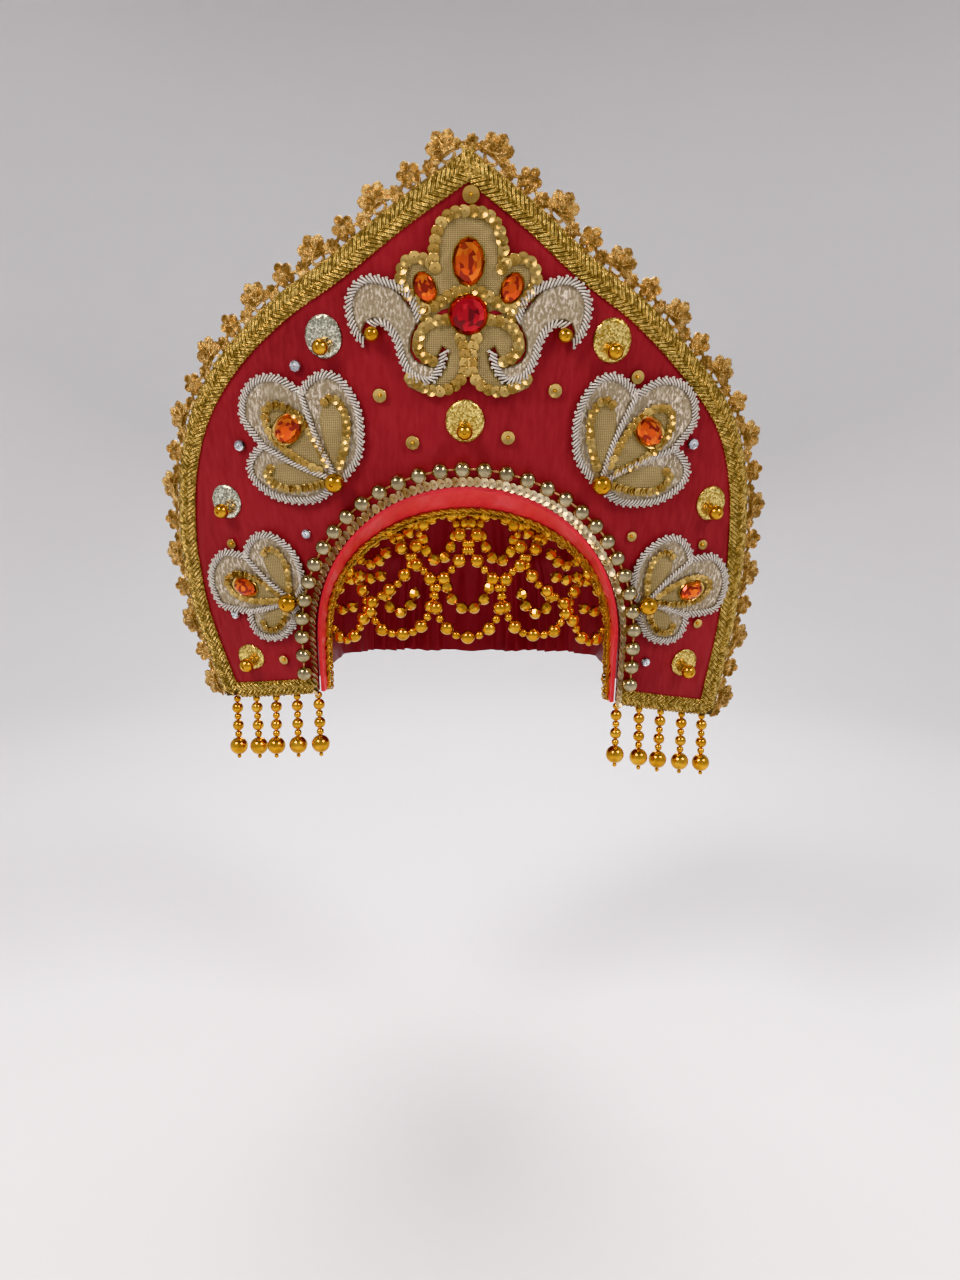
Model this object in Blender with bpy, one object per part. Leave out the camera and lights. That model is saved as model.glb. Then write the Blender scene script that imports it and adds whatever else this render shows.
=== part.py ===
"""Kokoshnik headdress: a stiff crown panel on a soft cap, with sewn ornament and strings of beads.

Metres, +Z up. The front faces -Y. Left and right in names are as seen from the front, so left is at
-X. The origin is the seat of the hat: the inside of the cap on the crown of the head.

The crown panel is a board bent round an upright axis behind it, and it leans forward at the top.
What is sewn to it is placed by u, along the bend from the middle, s, up the board from the top of
the face arch, and a lift above the board's face.
"""
import math

import bmesh
import bpy
from mathutils import Vector

CLEARANCE = 0.0003            # between pieces that touch
FACET = 0.020                 # width of the flat strips that the bent board is made of

# The board
ARCH_FORWARD = 0.105          # the arch's top, in front of the seat
ARCH_DROP = 0.022             # and below it
PANEL_LEAN = math.radians(13)
PANEL_BEND = 0.375            # radius of the bend
PANEL_THICKNESS = 0.0045
LEFT_REACH = 0.167            # from the middle to the widest place, along the bend
RIGHT_REACH = 0.159
CROWN_RISE = 0.154            # from the arch's top to the apex
LEFT_HEM = 0.135              # from the arch's top down to the outer corner of the lobe
RIGHT_HEM = 0.145
LEFT_FOOT = 0.91              # the arch's foot, as a share of the hem's drop
RIGHT_FOOT = 0.885
ARCH_HALF = 0.0865            # half the face arch's width
ARCH_RISE = 0.090             # height of its round part
ARCH_STEPS = 20
MITRE_LIMIT = 0.3             # least share of the width that a mitred corner is drawn from

# Outline of the crown: share of the rise or drop, left share and right share of the reach
OUTLINE_STEPS = 2
CROWN_OUTLINE = (
    (1.00, 0.000, 0.000),
    (0.85, 0.210, 0.200),
    (0.70, 0.400, 0.375),
    (0.57, 0.585, 0.555),
    (0.40, 0.765, 0.735),
    (0.21, 0.895, 0.890),
    (0.00, 0.970, 0.970),
    (-0.26, 1.000, 1.000),
    (-0.45, 0.995, 1.000),
    (-0.63, 0.975, 0.990),
    (-0.87, 0.915, 0.960),
    (-1.00, 0.880, 0.945),
)

# Braids and lace round the edge
BRAID_WIDTH = 0.0098
BRAID_HEIGHT = 0.0013
HEM_BRAID_WIDTH = 0.0080
LACE_SINK = 0.0014            # the lace's face, behind the board's face
LACE_THICKNESS = 0.0010
LACE_MOTIFS = 38
LEAF_REACH = 0.0155
FLOWER_REACH = 0.0122
EYELET = (0.0024, 0.0013)     # half the length and height of the oval holes
EYELET_OFFSET = 0.0034
EYELET_SIDES = 4
LACE_EASE = 1 / 12            # share of the pitch, each way, that the lace's direction is averaged over
# Edge of one motif: share of the pitch, share of its reach
LEAF_EDGE = ((0.00, 0.22), (0.20, 0.62), (0.36, 0.74), (0.50, 1.00), (0.64, 0.74), (0.80, 0.62))
FLOWER_EDGE = ((0.00, 0.28), (0.18, 0.70), (0.36, 0.98), (0.64, 0.98), (0.82, 0.70))

# Strings and trims round the arch
BEAD_RADIUS = 0.0042
BEAD_COUNT = 32
BEAD_TOP_GAP = 0.0097         # the string's line, above the arch and beside it
BEAD_SIDE_GAP = 0.0055
BEAD_THREAD = 0.26            # thickness of the thread between two beads, as a share of a bead's
BEAD_SHOULDER = math.sqrt(0.75)      # a bead's radius half way out to its end, as a share
ROUND_SIDES = 10
BEAD_RINGS = 5
TRIM_TOP_WIDTH = 0.0045
TRIM_SIDE_WIDTH = 0.0010
TRIM_HEIGHT = 0.0010

# Forehead band, a strip of cloth that runs back from the arch to the head
CLOTH = 0.0020
BAND_DEPTH_TOP = 0.022
BAND_DEPTH_SIDE = 0.052
BAND_DROP = 0.011
BAND_BRAID_WIDTH = 0.0034
BAND_BRAID_HEIGHT = 0.0010
BAND_ROWS = (0.0, 0.5, 1.0)   # shares of the band's depth

# Cap over the head
CAP_HALF = 0.0875             # half the width at the ears, inside
CAP_BACK = 0.110              # from the seat to the back, inside
CAP_FRONT_GAP = 0.0045        # from the arch out to the cap's front edge
CAP_SIDE_DROP = 0.136         # from the seat down to the lower edge at the ears
CAP_NAPE_DROP = 0.148
CAP_ROUNDNESS = 2.4           # power of the curve from the crown of the head to the edge
CAP_ROWS = (0.0, 0.35, 0.62, 0.82, 0.94, 1.0)        # shares of the way from the seat to the edge
CAP_ARCH_TURN = math.radians(15)     # angle above the arch's centre where the cap leaves the board
CAP_ARCH_STEPS = 10
GATHER_COUNT = 9              # round the lower edge, from ear to ear
GATHER_STEPS = 4              # columns of the cap to one gather
GATHER_DEPTH = 0.0026
GATHER_RISE = 3               # power that takes a gather from nothing at the seat to its depth

# Net of beads over the forehead
NET_STRAND = 0.0052
NET_CELL = 0.037              # width of a scallop
NET_DEPTH = 0.072             # from the band's top to the middle scallop's dip
NET_LEAD = 0.0009             # from the band's back edge to the net
NET_OVERLAP = 0.0020          # how far the net reaches up behind the band
NET_HOLE_INSET = 0.4          # from a strand's line to a hole, as a share of the strand's width
SCALLOP_STEPS = 6
# Knots and dips of the right half: shares of a scallop's width and of the net's depth
NET_KNOTS = {
    "top": (0.00, 0.305),
    "side": (0.84, 0.420),
    "low": (0.50, 0.650),
    "outer": (1.54, 0.785),
    "middle_dip": (0.00, 1.000),
    "side_dip": (1.06, 0.995),
    "end_dip": (1.96, 1.090),
}
# Places along the band's edge, as shares of its half width: of the ties and of the net's upper rim
NET_TIE_SHARES = (0.0, 0.17, 0.28, 0.56, 0.70, 0.82, 0.96)
NET_RIM_SHARES = (0.985, 0.90, 0.76, 0.60, 0.40, 0.20, 0.0)

# Pendants under the hem
PENDANTS = 5
PENDANT_FIRST = 0.012         # places along the hem, as shares of it from the foot
PENDANT_STEP = 0.225
PENDANT_BEAD = 0.0052         # radius of the big bead
PENDANT_LENGTH = 0.0385
# Rings of a pendant: share of the length, share of the big bead's radius
PENDANT_RINGS = (
    (0.00, 0.20), (0.13, 0.58), (0.24, 0.58), (0.35, 0.20), (0.46, 0.58), (0.54, 0.58),
    (0.64, 0.22), (0.74, 0.86), (0.81, 1.00), (0.88, 0.86), (1.00, 0.15),
)

# Sewn ornament
PATCH_HEIGHT = 0.0016
STONE_SIDES = 10
STONE_HEIGHT = 0.0048
SMALL_STONE_HEIGHT = 0.0038
STONE_RINGS = ((0.90, 0.0), (1.0, 0.30), (0.62, 1.0))     # base, girdle, table: width, height
DISC_HEIGHT = 0.0012
DISC_SIDES = 12

# Crest, drawn for the right half: shares of half its width and of its height
CREST_HALF = 0.0385
CREST_HEIGHT = 0.086
CREST_FOOT = 0.0465
CREST_OUTLINE = (
    (0.00, 0.975), (0.15, 0.97), (0.27, 0.945), (0.375, 0.88), (0.435, 0.80), (0.46, 0.73),
    (0.43, 0.675), (0.55, 0.73), (0.65, 0.745), (0.79, 0.72), (0.87, 0.645), (0.86, 0.575),
    (0.74, 0.505), (0.64, 0.45), (0.575, 0.405), (0.64, 0.36), (0.705, 0.30), (0.715, 0.24),
    (0.66, 0.20), (0.60, 0.18), (0.47, 0.17), (0.385, 0.205), (0.33, 0.26), (0.25, 0.235),
    (0.28, 0.165), (0.375, 0.095), (0.50, 0.055), (0.62, 0.05), (0.745, 0.075), (0.84, 0.085),
    (0.77, 0.035), (0.65, 0.01), (0.45, -0.015), (0.21, 0.02), (0.06, 0.08), (0.00, 0.115),
)
SCROLL_OUTLINE = (
    (0.60, 0.395), (0.67, 0.44), (0.77, 0.492), (0.89, 0.56), (1.00, 0.585), (1.13, 0.607),
    (1.25, 0.61), (1.39, 0.58), (1.48, 0.51), (1.48, 0.42), (1.42, 0.335), (1.31, 0.29),
    (1.345, 0.335), (1.305, 0.38), (1.20, 0.40), (1.09, 0.39), (0.98, 0.35), (0.89, 0.27),
    (0.85, 0.18), (0.755, 0.11), (0.60, 0.07), (0.47, 0.08), (0.355, 0.135), (0.29, 0.20),
    (0.28, 0.23), (0.308, 0.238), (0.37, 0.188), (0.45, 0.155), (0.60, 0.165), (0.68, 0.185),
    (0.735, 0.235), (0.725, 0.305), (0.66, 0.368),
)
CREST_STONE = (0.0073, 0.0105)       # half the width and the height of the oval stones
SIDE_STONE = (0.0051, 0.0072)
SIDE_STONE_AT = (0.53, 0.573)        # shares of the crest
SIDE_STONE_TURN = math.radians(-24)
CREST_STONE_AT = 0.707
ROUND_STONE = 0.0092
ROUND_STONE_AT = 0.435
SCROLL_BEAD = 0.0036
SCROLL_BEAD_AT = (1.205, 0.325)

# Flowers of three petals: degrees past the petal's line, share of the petal's length
SIDE_PETAL = ((-8, 0.95), (0, 1.00), (6, 0.99), (12, 0.93), (20, 0.80), (27, 0.67), (36, 0.49),
              (48, 0.31))
NOTCH = (-15, 0.88)
MIDDLE_PETAL = ((-16, 0.885), (-10, 0.96), (-3.5, 1.00), (3.5, 1.00), (10, 0.96), (16, 0.885))
FLOWER_BEAD = 0.0050
FLOWER_HEART = 0.0055         # least radius of the patch round the bead
HEART_TURNS = (-60, -30, 0, 30, 60)      # points of the patch behind the bead, in degrees
STONE_PLACE = 0.56            # along the middle petal
UPPER_PLACE = 0.007           # height of the upper flowers' beads, as a share of the crown's rise
LOWER_PLACE = 0.75            # drop of the lower flowers' beads, as a share of the arch's rise
LOWER_GAP = 0.0115            # from the arch out to the middle of a lower flower's bead
# For each kind: the middle petal's direction, the angle from it to a side petal's line, the spread
# of the petals, the side petals' lengths as shares of the middle one's, the stone and its tilt
FLOWER_KINDS = {
    "upper": (45.5, 38.5, 1.00, (0.836, 0.758), (0.0098, 0.0070), 135),
    "lower": (10.5, 51.0, 1.35, (0.780, 0.620), (0.0078, 0.0060), 8),
}
# The bead's place across and the middle petal's length, as shares of the side's reach
UPPER_FITS = {"left": (0.4050, 0.3832), "right": (0.4254, 0.4025)}
# The middle petal's length, as a share of the width of the side's lobe
LOWER_FITS = {"left": 0.6211, "right": 0.6897}

# Glitter discs: side, share of its reach, share of the rise or of its hem, half width, half height
DISCS = {
    "upper_left": ("left", 0.4295, 0.470, 0.0095, 0.0105),
    "upper_right": ("right", 0.4460, 0.465, 0.0097, 0.0108),
    "middle": ("left", 0.0100, 0.215, 0.0097, 0.0106),
    "side_left": ("left", 0.8020, -0.114, 0.0090, 0.0094),
    "side_right": ("right", 0.8430, -0.097, 0.0088, 0.0094),
    "lower_left": ("left", 0.7630, -0.788, 0.0084, 0.0076),
    "lower_right": ("right", 0.7990, -0.743, 0.0080, 0.0082),
}
SILVER_DISCS = ("upper_left", "side_left")
DISC_BEAD = 0.0040
DISC_BEAD_SINK = 0.42         # the bead's place below the disc's middle, as a share of its half height

COLOURS = {
    "red_satin": ((0.33, 0.010, 0.018, 1), 0.45, 0.0),
    "gold_braid": ((0.45, 0.26, 0.07, 1), 0.40, 0.8),
    "gold_lace": ((0.62, 0.40, 0.14, 1), 0.45, 0.6),
    "gold_sequin": ((0.72, 0.55, 0.22, 1), 0.28, 0.9),
    "gold_bead": ((0.85, 0.50, 0.08, 1), 0.15, 1.0),
    "champagne_bead": ((0.70, 0.62, 0.50, 1), 0.18, 1.0),
    "gold_cloth": ((0.45, 0.34, 0.16, 1), 0.60, 0.3),
    "silver_lame": ((0.55, 0.50, 0.42, 1), 0.45, 0.6),
    "silver_glitter": ((0.70, 0.70, 0.72, 1), 0.30, 0.7),
    "amber_stone": ((0.80, 0.16, 0.01, 1), 0.08, 0.0),
    "red_stone": ((0.45, 0.005, 0.012, 1), 0.08, 0.0),
}


def board_point(u, s, lift):
    """A point on the smoothly bent board."""
    radius = PANEL_BEND + lift
    turn = u / PANEL_BEND
    back = PANEL_BEND - radius * math.cos(turn)
    y = back * math.cos(PANEL_LEAN) - s * math.sin(PANEL_LEAN)
    z = s * math.cos(PANEL_LEAN) + back * math.sin(PANEL_LEAN)
    return Vector((radius * math.sin(turn), y - ARCH_FORWARD, z - ARCH_DROP))


def forehead_point(x, z, lift):
    """A point on the upright sheet that the bead net hangs in, with z from the band's top."""
    return Vector((x, band_depth(x) + NET_LEAD - lift, band_top() + z))


def faceted(place):
    """The same surface, made of flat strips FACET wide."""
    def strip_point(u, s, lift):
        start = math.floor(u / FACET + 1e-6) * FACET
        share = (u - start) / FACET
        return place(start, s, lift).lerp(place(start + FACET, s, lift), share)
    return strip_point


on_panel = faceted(board_point)


def panel_frame(u, s):
    """Right, up and outward directions of the board's strip at u."""
    step = FACET * 0.01
    origin = on_panel(u, s, 0.0)
    right = (on_panel(u + step, s, 0.0) - origin).normalized()
    up = (on_panel(u, s + step, 0.0) - origin).normalized()
    return right, up, right.cross(up)


def band_top():
    return -ARCH_DROP - BAND_DROP


def band_depth(x):
    """Where the band's back edge lies, from back to front, x from the middle."""
    share = min(abs(x) / ARCH_HALF, 1.0) ** 2
    return BAND_DEPTH_TOP + (BAND_DEPTH_SIDE - BAND_DEPTH_TOP) * share - ARCH_FORWARD


def smooth_line(points, steps):
    """A Catmull-Rom curve through the points, with that many steps between two of them."""
    ends = [points[0] * 2 - points[1], *points, points[-1] * 2 - points[-2]]
    line = []
    for before, start, end, after in zip(ends, ends[1:], ends[2:], ends[3:]):
        for step in range(steps):
            t = step / steps
            line.append(0.5 * (2 * start + (end - before) * t
                               + (2 * before - 5 * start + 4 * end - after) * t ** 2
                               + (3 * start - before - 3 * end + after) * t ** 3))
    return line + [points[-1].copy()]


def side_sizes(left):
    """One side's direction along the bend, its reach and its hem's drop."""
    return (-1, LEFT_REACH, LEFT_HEM) if left else (1, RIGHT_REACH, RIGHT_HEM)


def crown_side(left):
    """The crown's outline from the apex down to one lobe's outer corner."""
    sign, reach, hem = side_sizes(left)
    points = []
    for height, left_share, right_share in CROWN_OUTLINE:
        share = left_share if left else right_share
        s = height * (CROWN_RISE if height > 0 else hem)
        points.append(Vector((sign * share * reach, s)))
    return smooth_line(points, OUTLINE_STEPS)


def crown_line():
    """The whole outline, from the left corner over the apex to the right corner."""
    return crown_side(True)[::-1] + crown_side(False)[1:]


def foot(left):
    """Where the arch meets the hem."""
    if left:
        return Vector((-ARCH_HALF, -LEFT_HEM * LEFT_FOOT))
    return Vector((ARCH_HALF, -RIGHT_HEM * RIGHT_FOOT))


def arch_line(top_gap, side_gap, left_end, right_end):
    """The face arch widened by the gaps, from its left end over the top to its right end."""
    half = ARCH_HALF + side_gap
    line = [Vector((-half, left_end))]
    for step in range(ARCH_STEPS + 1):
        turn = math.pi * (1 - step / ARCH_STEPS)
        line.append(Vector((half * math.cos(turn), (ARCH_RISE + top_gap) * math.sin(turn) - ARCH_RISE)))
    return line + [Vector((half, right_end))]


def sideways(line, distance):
    """The line moved to its left by the distance, with mitred corners."""
    moved = []
    for index, point in enumerate(line):
        before = line[max(index - 1, 0)]
        after = line[min(index + 1, len(line) - 1)]
        first = (point - before if index else after - point).normalized()
        second = (after - point if index < len(line) - 1 else point - before).normalized()
        normal = Vector((-first.y - second.y, first.x + second.x)).normalized()
        stretch = max(normal.dot(Vector((-first.y, first.x))), MITRE_LIMIT)
        moved.append(point + normal * distance / stretch)
    return moved


def lengths(line):
    total = [0.0]
    for start, end in zip(line, line[1:]):
        total.append(total[-1] + (end - start).length)
    return total


def along(line, distance):
    """The point and the direction at a distance along the line."""
    total = lengths(line)
    distance = min(max(distance, 0.0), total[-1])
    index = next((i for i in range(1, len(line)) if total[i] >= distance), len(line) - 1)
    start, end = line[index - 1], line[index]
    share = (distance - total[index - 1]) / (total[index] - total[index - 1])
    return start.lerp(end, share), (end - start).normalized()


def oval(u, s, half_width, half_height, sides, turn=0.0):
    points = []
    for index in range(sides):
        angle = 2 * math.pi * index / sides
        x = half_width * math.cos(angle)
        y = half_height * math.sin(angle)
        points.append(Vector((u + x * math.cos(turn) - y * math.sin(turn),
                              s + x * math.sin(turn) + y * math.cos(turn))))
    return points


def make_materials():
    for name, (colour, roughness, metallic) in COLOURS.items():
        made = bpy.data.materials.new(name)
        made.use_nodes = True
        shader = made.node_tree.nodes["Principled BSDF"]
        shader.inputs["Base Color"].default_value = colour
        shader.inputs["Roughness"].default_value = roughness
        shader.inputs["Metallic"].default_value = metallic


def finish(solid, name, material, smooth_angle):
    """Turns a bmesh into a named object with its material."""
    mesh = bpy.data.meshes.new(name)
    solid.to_mesh(mesh)
    solid.free()
    mesh.materials.append(bpy.data.materials[material])
    mesh.shade_smooth()
    mesh.set_sharp_from_angle(angle=math.radians(smooth_angle))
    bpy.context.scene.collection.objects.link(bpy.data.objects.new(name, mesh))


def face_outward(solid):
    solid.normal_update()
    bmesh.ops.recalc_face_normals(solid, faces=solid.faces[:])


def plate(name, outline, low, high, material, holes=(), place=on_panel):
    """A plate that follows a surface between two lifts."""
    flat = bmesh.new()
    for loop in (outline, *holes):
        ring = [flat.verts.new((point.x, point.y, 0.0)) for point in loop]
        for start, end in zip(ring, ring[1:] + ring[:1]):
            flat.edges.new((start, end))
    bmesh.ops.triangle_fill(flat, use_beauty=True, edges=flat.edges[:], normal=(0, 0, 1))
    first = math.ceil(min(point.x for point in outline) / FACET)
    last = math.floor(max(point.x for point in outline) / FACET)
    for index in range(first, last + 1):
        bmesh.ops.bisect_plane(flat, geom=flat.verts[:] + flat.edges[:] + flat.faces[:], dist=1e-7,
                               plane_co=(index * FACET, 0, 0), plane_no=(1, 0, 0))
    flat.normal_update()
    solid = bmesh.new()
    top, bottom = {}, {}
    for vert in flat.verts:
        top[vert] = solid.verts.new(place(vert.co.x, vert.co.y, high))
        bottom[vert] = solid.verts.new(place(vert.co.x, vert.co.y, low))
    for face in flat.faces:
        corners = [loop.vert for loop in face.loops]
        solid.faces.new([top[vert] for vert in corners])
        solid.faces.new([bottom[vert] for vert in reversed(corners)])
        for loop in face.loops:
            if loop.edge.is_boundary:
                start, end = loop.vert, loop.link_loop_next.vert
                solid.faces.new([top[end], top[start], bottom[start], bottom[end]])
    up = sum(face.normal.z * face.calc_area() for face in flat.faces)
    flat.free()
    if up < 0:
        bmesh.ops.reverse_faces(solid, faces=solid.faces[:])
    finish(solid, name, material, 30)


def shell(name, outer, inner, material):
    """A cloth wall between two grids of points, open along all its borders, which are closed off."""
    solid = bmesh.new()
    skins = [[[solid.verts.new(point) for point in row] for row in grid] for grid in (outer, inner)]
    rows, columns = len(outer), len(outer[0])
    for row in range(rows - 1):
        for column in range(columns - 1):
            for skin, order in zip(skins, (1, -1)):
                corners = [skin[row][column], skin[row][column + 1],
                           skin[row + 1][column + 1], skin[row + 1][column]]
                solid.faces.new(corners[::order])
    front, back = skins
    for column in range(columns - 1):
        solid.faces.new([front[0][column + 1], front[0][column], back[0][column], back[0][column + 1]])
        solid.faces.new([front[-1][column], front[-1][column + 1], back[-1][column + 1], back[-1][column]])
    for row in range(rows - 1):
        solid.faces.new([front[row][0], front[row + 1][0], back[row + 1][0], back[row][0]])
        solid.faces.new([front[row + 1][-1], front[row][-1], back[row][-1], back[row + 1][-1]])
    face_outward(solid)
    finish(solid, name, material, 50)


def dome(name, outer, inner, material):
    """A cap of two skins, whose columns all start from a pole and go right round."""
    solid = bmesh.new()
    skins = []
    for grid in (outer, inner):
        pole = solid.verts.new(grid[0][0])
        skins.append([[pole] + [solid.verts.new(point) for point in column[1:]] for column in grid])
    for skin in skins:
        for first, second in zip(skin, skin[1:] + skin[:1]):
            solid.faces.new([first[0], first[1], second[1]])
            for row in range(1, len(first) - 1):
                solid.faces.new([first[row], first[row + 1], second[row + 1], second[row]])
    for index, column in enumerate(skins[0]):
        following = (index + 1) % len(skins[0])
        solid.faces.new([column[-1], skins[0][following][-1], skins[1][following][-1], skins[1][index][-1]])
    face_outward(solid)
    finish(solid, name, material, 60)


def sweep(name, centres, radii, ups, material):
    """A round body along a line of centres, with a radius of its own at each."""
    solid = bmesh.new()
    rings = []
    for index, (centre, radius, up) in enumerate(zip(centres, radii, ups)):
        ahead = centres[min(index + 1, len(centres) - 1)] - centres[max(index - 1, 0)]
        across = ahead.normalized().cross(up).normalized()
        above = across.cross(ahead.normalized())
        ring = []
        for side in range(ROUND_SIDES):
            angle = 2 * math.pi * side / ROUND_SIDES
            outward = math.cos(angle) * across + math.sin(angle) * above
            ring.append(solid.verts.new(centre + radius * outward))
        rings.append(ring)
    close_rings(solid, rings)
    finish(solid, name, material, 60)


def close_rings(solid, rings):
    """Joins rings of as many points each into one closed body with flat ends."""
    for first, second in zip(rings, rings[1:]):
        for side, corner in enumerate(first):
            after = (side + 1) % len(first)
            solid.faces.new([corner, first[after], second[after], second[side]])
    solid.faces.new(rings[0])
    solid.faces.new(rings[-1])
    face_outward(solid)


def bead(name, u, s, seat, radius, material):
    """A round bead on the board, its lowest point just above the seat."""
    right, up, out = panel_frame(u, s)
    centre = on_panel(u, s, 0.0) + out * (seat + CLEARANCE + radius)
    solid = bmesh.new()
    bmesh.ops.create_uvsphere(solid, u_segments=ROUND_SIDES, v_segments=BEAD_RINGS, radius=radius)
    for vert in solid.verts:
        x, y, z = vert.co
        vert.co = centre + right * x + up * y + out * z
    face_outward(solid)
    finish(solid, name, material, 80)


def stone(name, u, s, seat, half_width, half_height, turn, height, material):
    """A cut stone: a narrow base, a girdle, ten facets and a flat table."""
    right, up, out = panel_frame(u, s)
    origin = on_panel(u, s, 0.0) + out * (seat + CLEARANCE)
    solid = bmesh.new()
    rings = []
    for size, level in STONE_RINGS:
        ring = []
        for point in oval(0.0, 0.0, half_width * size, half_height * size, STONE_SIDES, turn):
            ring.append(solid.verts.new(origin + right * point.x + up * point.y + out * level * height))
        rings.append(ring)
    close_rings(solid, rings)
    finish(solid, name, material, 5)


def make_panel():
    outline = crown_side(True) + [foot(True)]
    outline += arch_line(0, 0, foot(True).y, foot(False).y)[1:-1]
    outline += [foot(False)] + crown_side(False)[:0:-1]
    plate("crown_panel", outline, -PANEL_THICKNESS, 0.0, "red_satin")


def make_braids():
    low, high = CLEARANCE, CLEARANCE + BRAID_HEIGHT
    edge = crown_line()
    plate("edge_braid", edge + sideways(edge, -BRAID_WIDTH)[::-1], low, high, "gold_braid")
    for name, left in (("left", True), ("right", False)):
        inner = foot(left)
        side = crown_side(left)
        corner, upward = side[-1], (side[-2] - side[-1]).normalized()
        inward = (inner - corner).normalized()
        start = corner + inward * (BRAID_WIDTH + CLEARANCE) / abs(inward.cross(upward))
        rise = Vector((0, HEM_BRAID_WIDTH))
        outline = [inner, start, start + upward * HEM_BRAID_WIDTH / upward.y, inner + rise]
        plate("hem_braid_" + name, outline, low, high, "gold_braid")


def make_lace():
    edge = sideways(crown_line(), CLEARANCE)
    total = lengths(edge)[-1]
    pitch = total / LACE_MOTIFS
    scallops, eyelets = [], []

    def lace_point(distance, reach):
        first, second = (along(edge, distance + step * LACE_EASE * pitch)[1] for step in (-1, 1))
        ahead = (first + second).normalized()
        return along(edge, distance)[0] + Vector((-ahead.y, ahead.x)) * reach

    middle = LACE_MOTIFS // 2
    for index in range(LACE_MOTIFS):
        from_apex = index - middle if index >= middle else middle - 1 - index
        leaf = from_apex % 2 == 0
        shape, reach = (LEAF_EDGE, LEAF_REACH) if leaf else (FLOWER_EDGE, FLOWER_REACH)
        for share, out in shape:
            scallops.append(lace_point((index + share) * pitch, out * reach))
        eyelets.append([lace_point((index + 0.5) * pitch + hole.x, EYELET_OFFSET + hole.y)
                        for hole in oval(0, 0, *EYELET, EYELET_SIDES)])
    scallops.append(lace_point(total, LEAF_EDGE[0][1] * LEAF_REACH))
    high = -LACE_SINK
    plate("lace_edging", edge + scallops[::-1], high - LACE_THICKNESS, high, "gold_lace", eyelets)


def make_arch_strings():
    floor = HEM_BRAID_WIDTH + BEAD_RADIUS + CLEARANCE * 2
    line = arch_line(BEAD_TOP_GAP, BEAD_SIDE_GAP, foot(True).y + floor, foot(False).y + floor)
    total = lengths(line)[-1]
    pitch = total / (BEAD_COUNT - 1)
    lift = CLEARANCE + BEAD_RADIUS
    centres, radii, ups = [], [], []
    stations = [(-BEAD_RADIUS, BEAD_THREAD)]
    for index in range(BEAD_COUNT):
        middle = index * pitch
        stations += [(middle + BEAD_RADIUS * half, BEAD_SHOULDER) for half in (-0.5, 0.5)]
        stations += [(middle + (pitch / 2 if index < BEAD_COUNT - 1 else BEAD_RADIUS), BEAD_THREAD)]
    for distance, size in stations:
        point, ahead = along(line, distance)
        point = point + ahead * (distance - min(max(distance, 0.0), total))
        centres.append(board_point(point.x, point.y, lift))
        radii.append(size * BEAD_RADIUS)
        ups.append(panel_frame(point.x, point.y)[2])
    sweep("arch_bead_string", centres, radii, ups, "champagne_bead")
    feet = (foot(True).y, foot(False).y)
    inner = arch_line(CLEARANCE, CLEARANCE, *feet)
    outer = arch_line(TRIM_TOP_WIDTH, TRIM_SIDE_WIDTH, *feet)
    rise = Vector((0, HEM_BRAID_WIDTH + CLEARANCE))
    for line in (inner, outer):
        line[0] += rise
        line[-1] += rise
    plate("arch_sequin_trim", outer[::-1] + inner, CLEARANCE, CLEARANCE + TRIM_HEIGHT, "gold_sequin")


def band_grid(depth_in, widths):
    """Points of the forehead band, depth_in below its outer face, at shares of its width."""
    sink = CLEARANCE * 2 + depth_in
    side_sink = sink + PANEL_THICKNESS * math.sin(ARCH_HALF / PANEL_BEND)
    front = arch_line(-sink, -side_sink, foot(True).y, foot(False).y)
    grid = []
    for share in widths:
        row = []
        for point in front:
            start = board_point(point.x, point.y, -CLEARANCE * 3)
            drop = BAND_DROP * min(max(1 + point.y / ARCH_RISE, 0.0), 1.0)
            end = Vector((start.x, band_depth(start.x), start.z - drop))
            row.append(start.lerp(end, share))
        grid.append(row)
    return grid


def make_band():
    shell("forehead_band", band_grid(0.0, BAND_ROWS), band_grid(CLOTH, BAND_ROWS), "red_satin")
    start = 1 - BAND_BRAID_WIDTH / BAND_DEPTH_TOP
    low = CLOTH + CLEARANCE
    shell("band_braid", band_grid(low, (start, 1.0)), band_grid(low + BAND_BRAID_HEIGHT, (start, 1.0)),
          "gold_braid")


def cap_edge(skin, gathers=False):
    """Ends of the cap's columns: on the panel's back round the arch, then round the lower edge."""
    half, back = CAP_HALF + skin, CAP_BACK + skin
    lift = -PANEL_THICKNESS - CLEARANCE
    gap = CAP_FRONT_GAP + skin
    ends = []
    for step in range(CAP_ARCH_STEPS + 1):
        turn = math.pi - CAP_ARCH_TURN - (math.pi - 2 * CAP_ARCH_TURN) * step / CAP_ARCH_STEPS
        s = (ARCH_RISE + gap) * math.sin(turn) - ARCH_RISE
        ends.append(board_point((ARCH_HALF + gap) * math.cos(turn), s, lift))
    corner = board_point(ARCH_HALF + gap, foot(False).y, lift)
    around = GATHER_COUNT * GATHER_STEPS
    for step in range(around + 1):
        turn = math.pi * (step / around)
        if step in (0, around):
            x, y, drop = math.copysign(corner.x, math.cos(turn)), corner.y, CAP_SIDE_DROP
        else:
            x, y = half * math.cos(turn), back * math.sin(turn)
            drop = CAP_SIDE_DROP + (CAP_NAPE_DROP - CAP_SIDE_DROP) * math.sin(turn) ** 2
            if gathers:
                pull = 1 + GATHER_DEPTH / half * math.cos(2 * GATHER_COUNT * turn)
                x, y = x * pull, y * pull
        ends.append(Vector((x, y, -drop)))
    return ends


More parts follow.
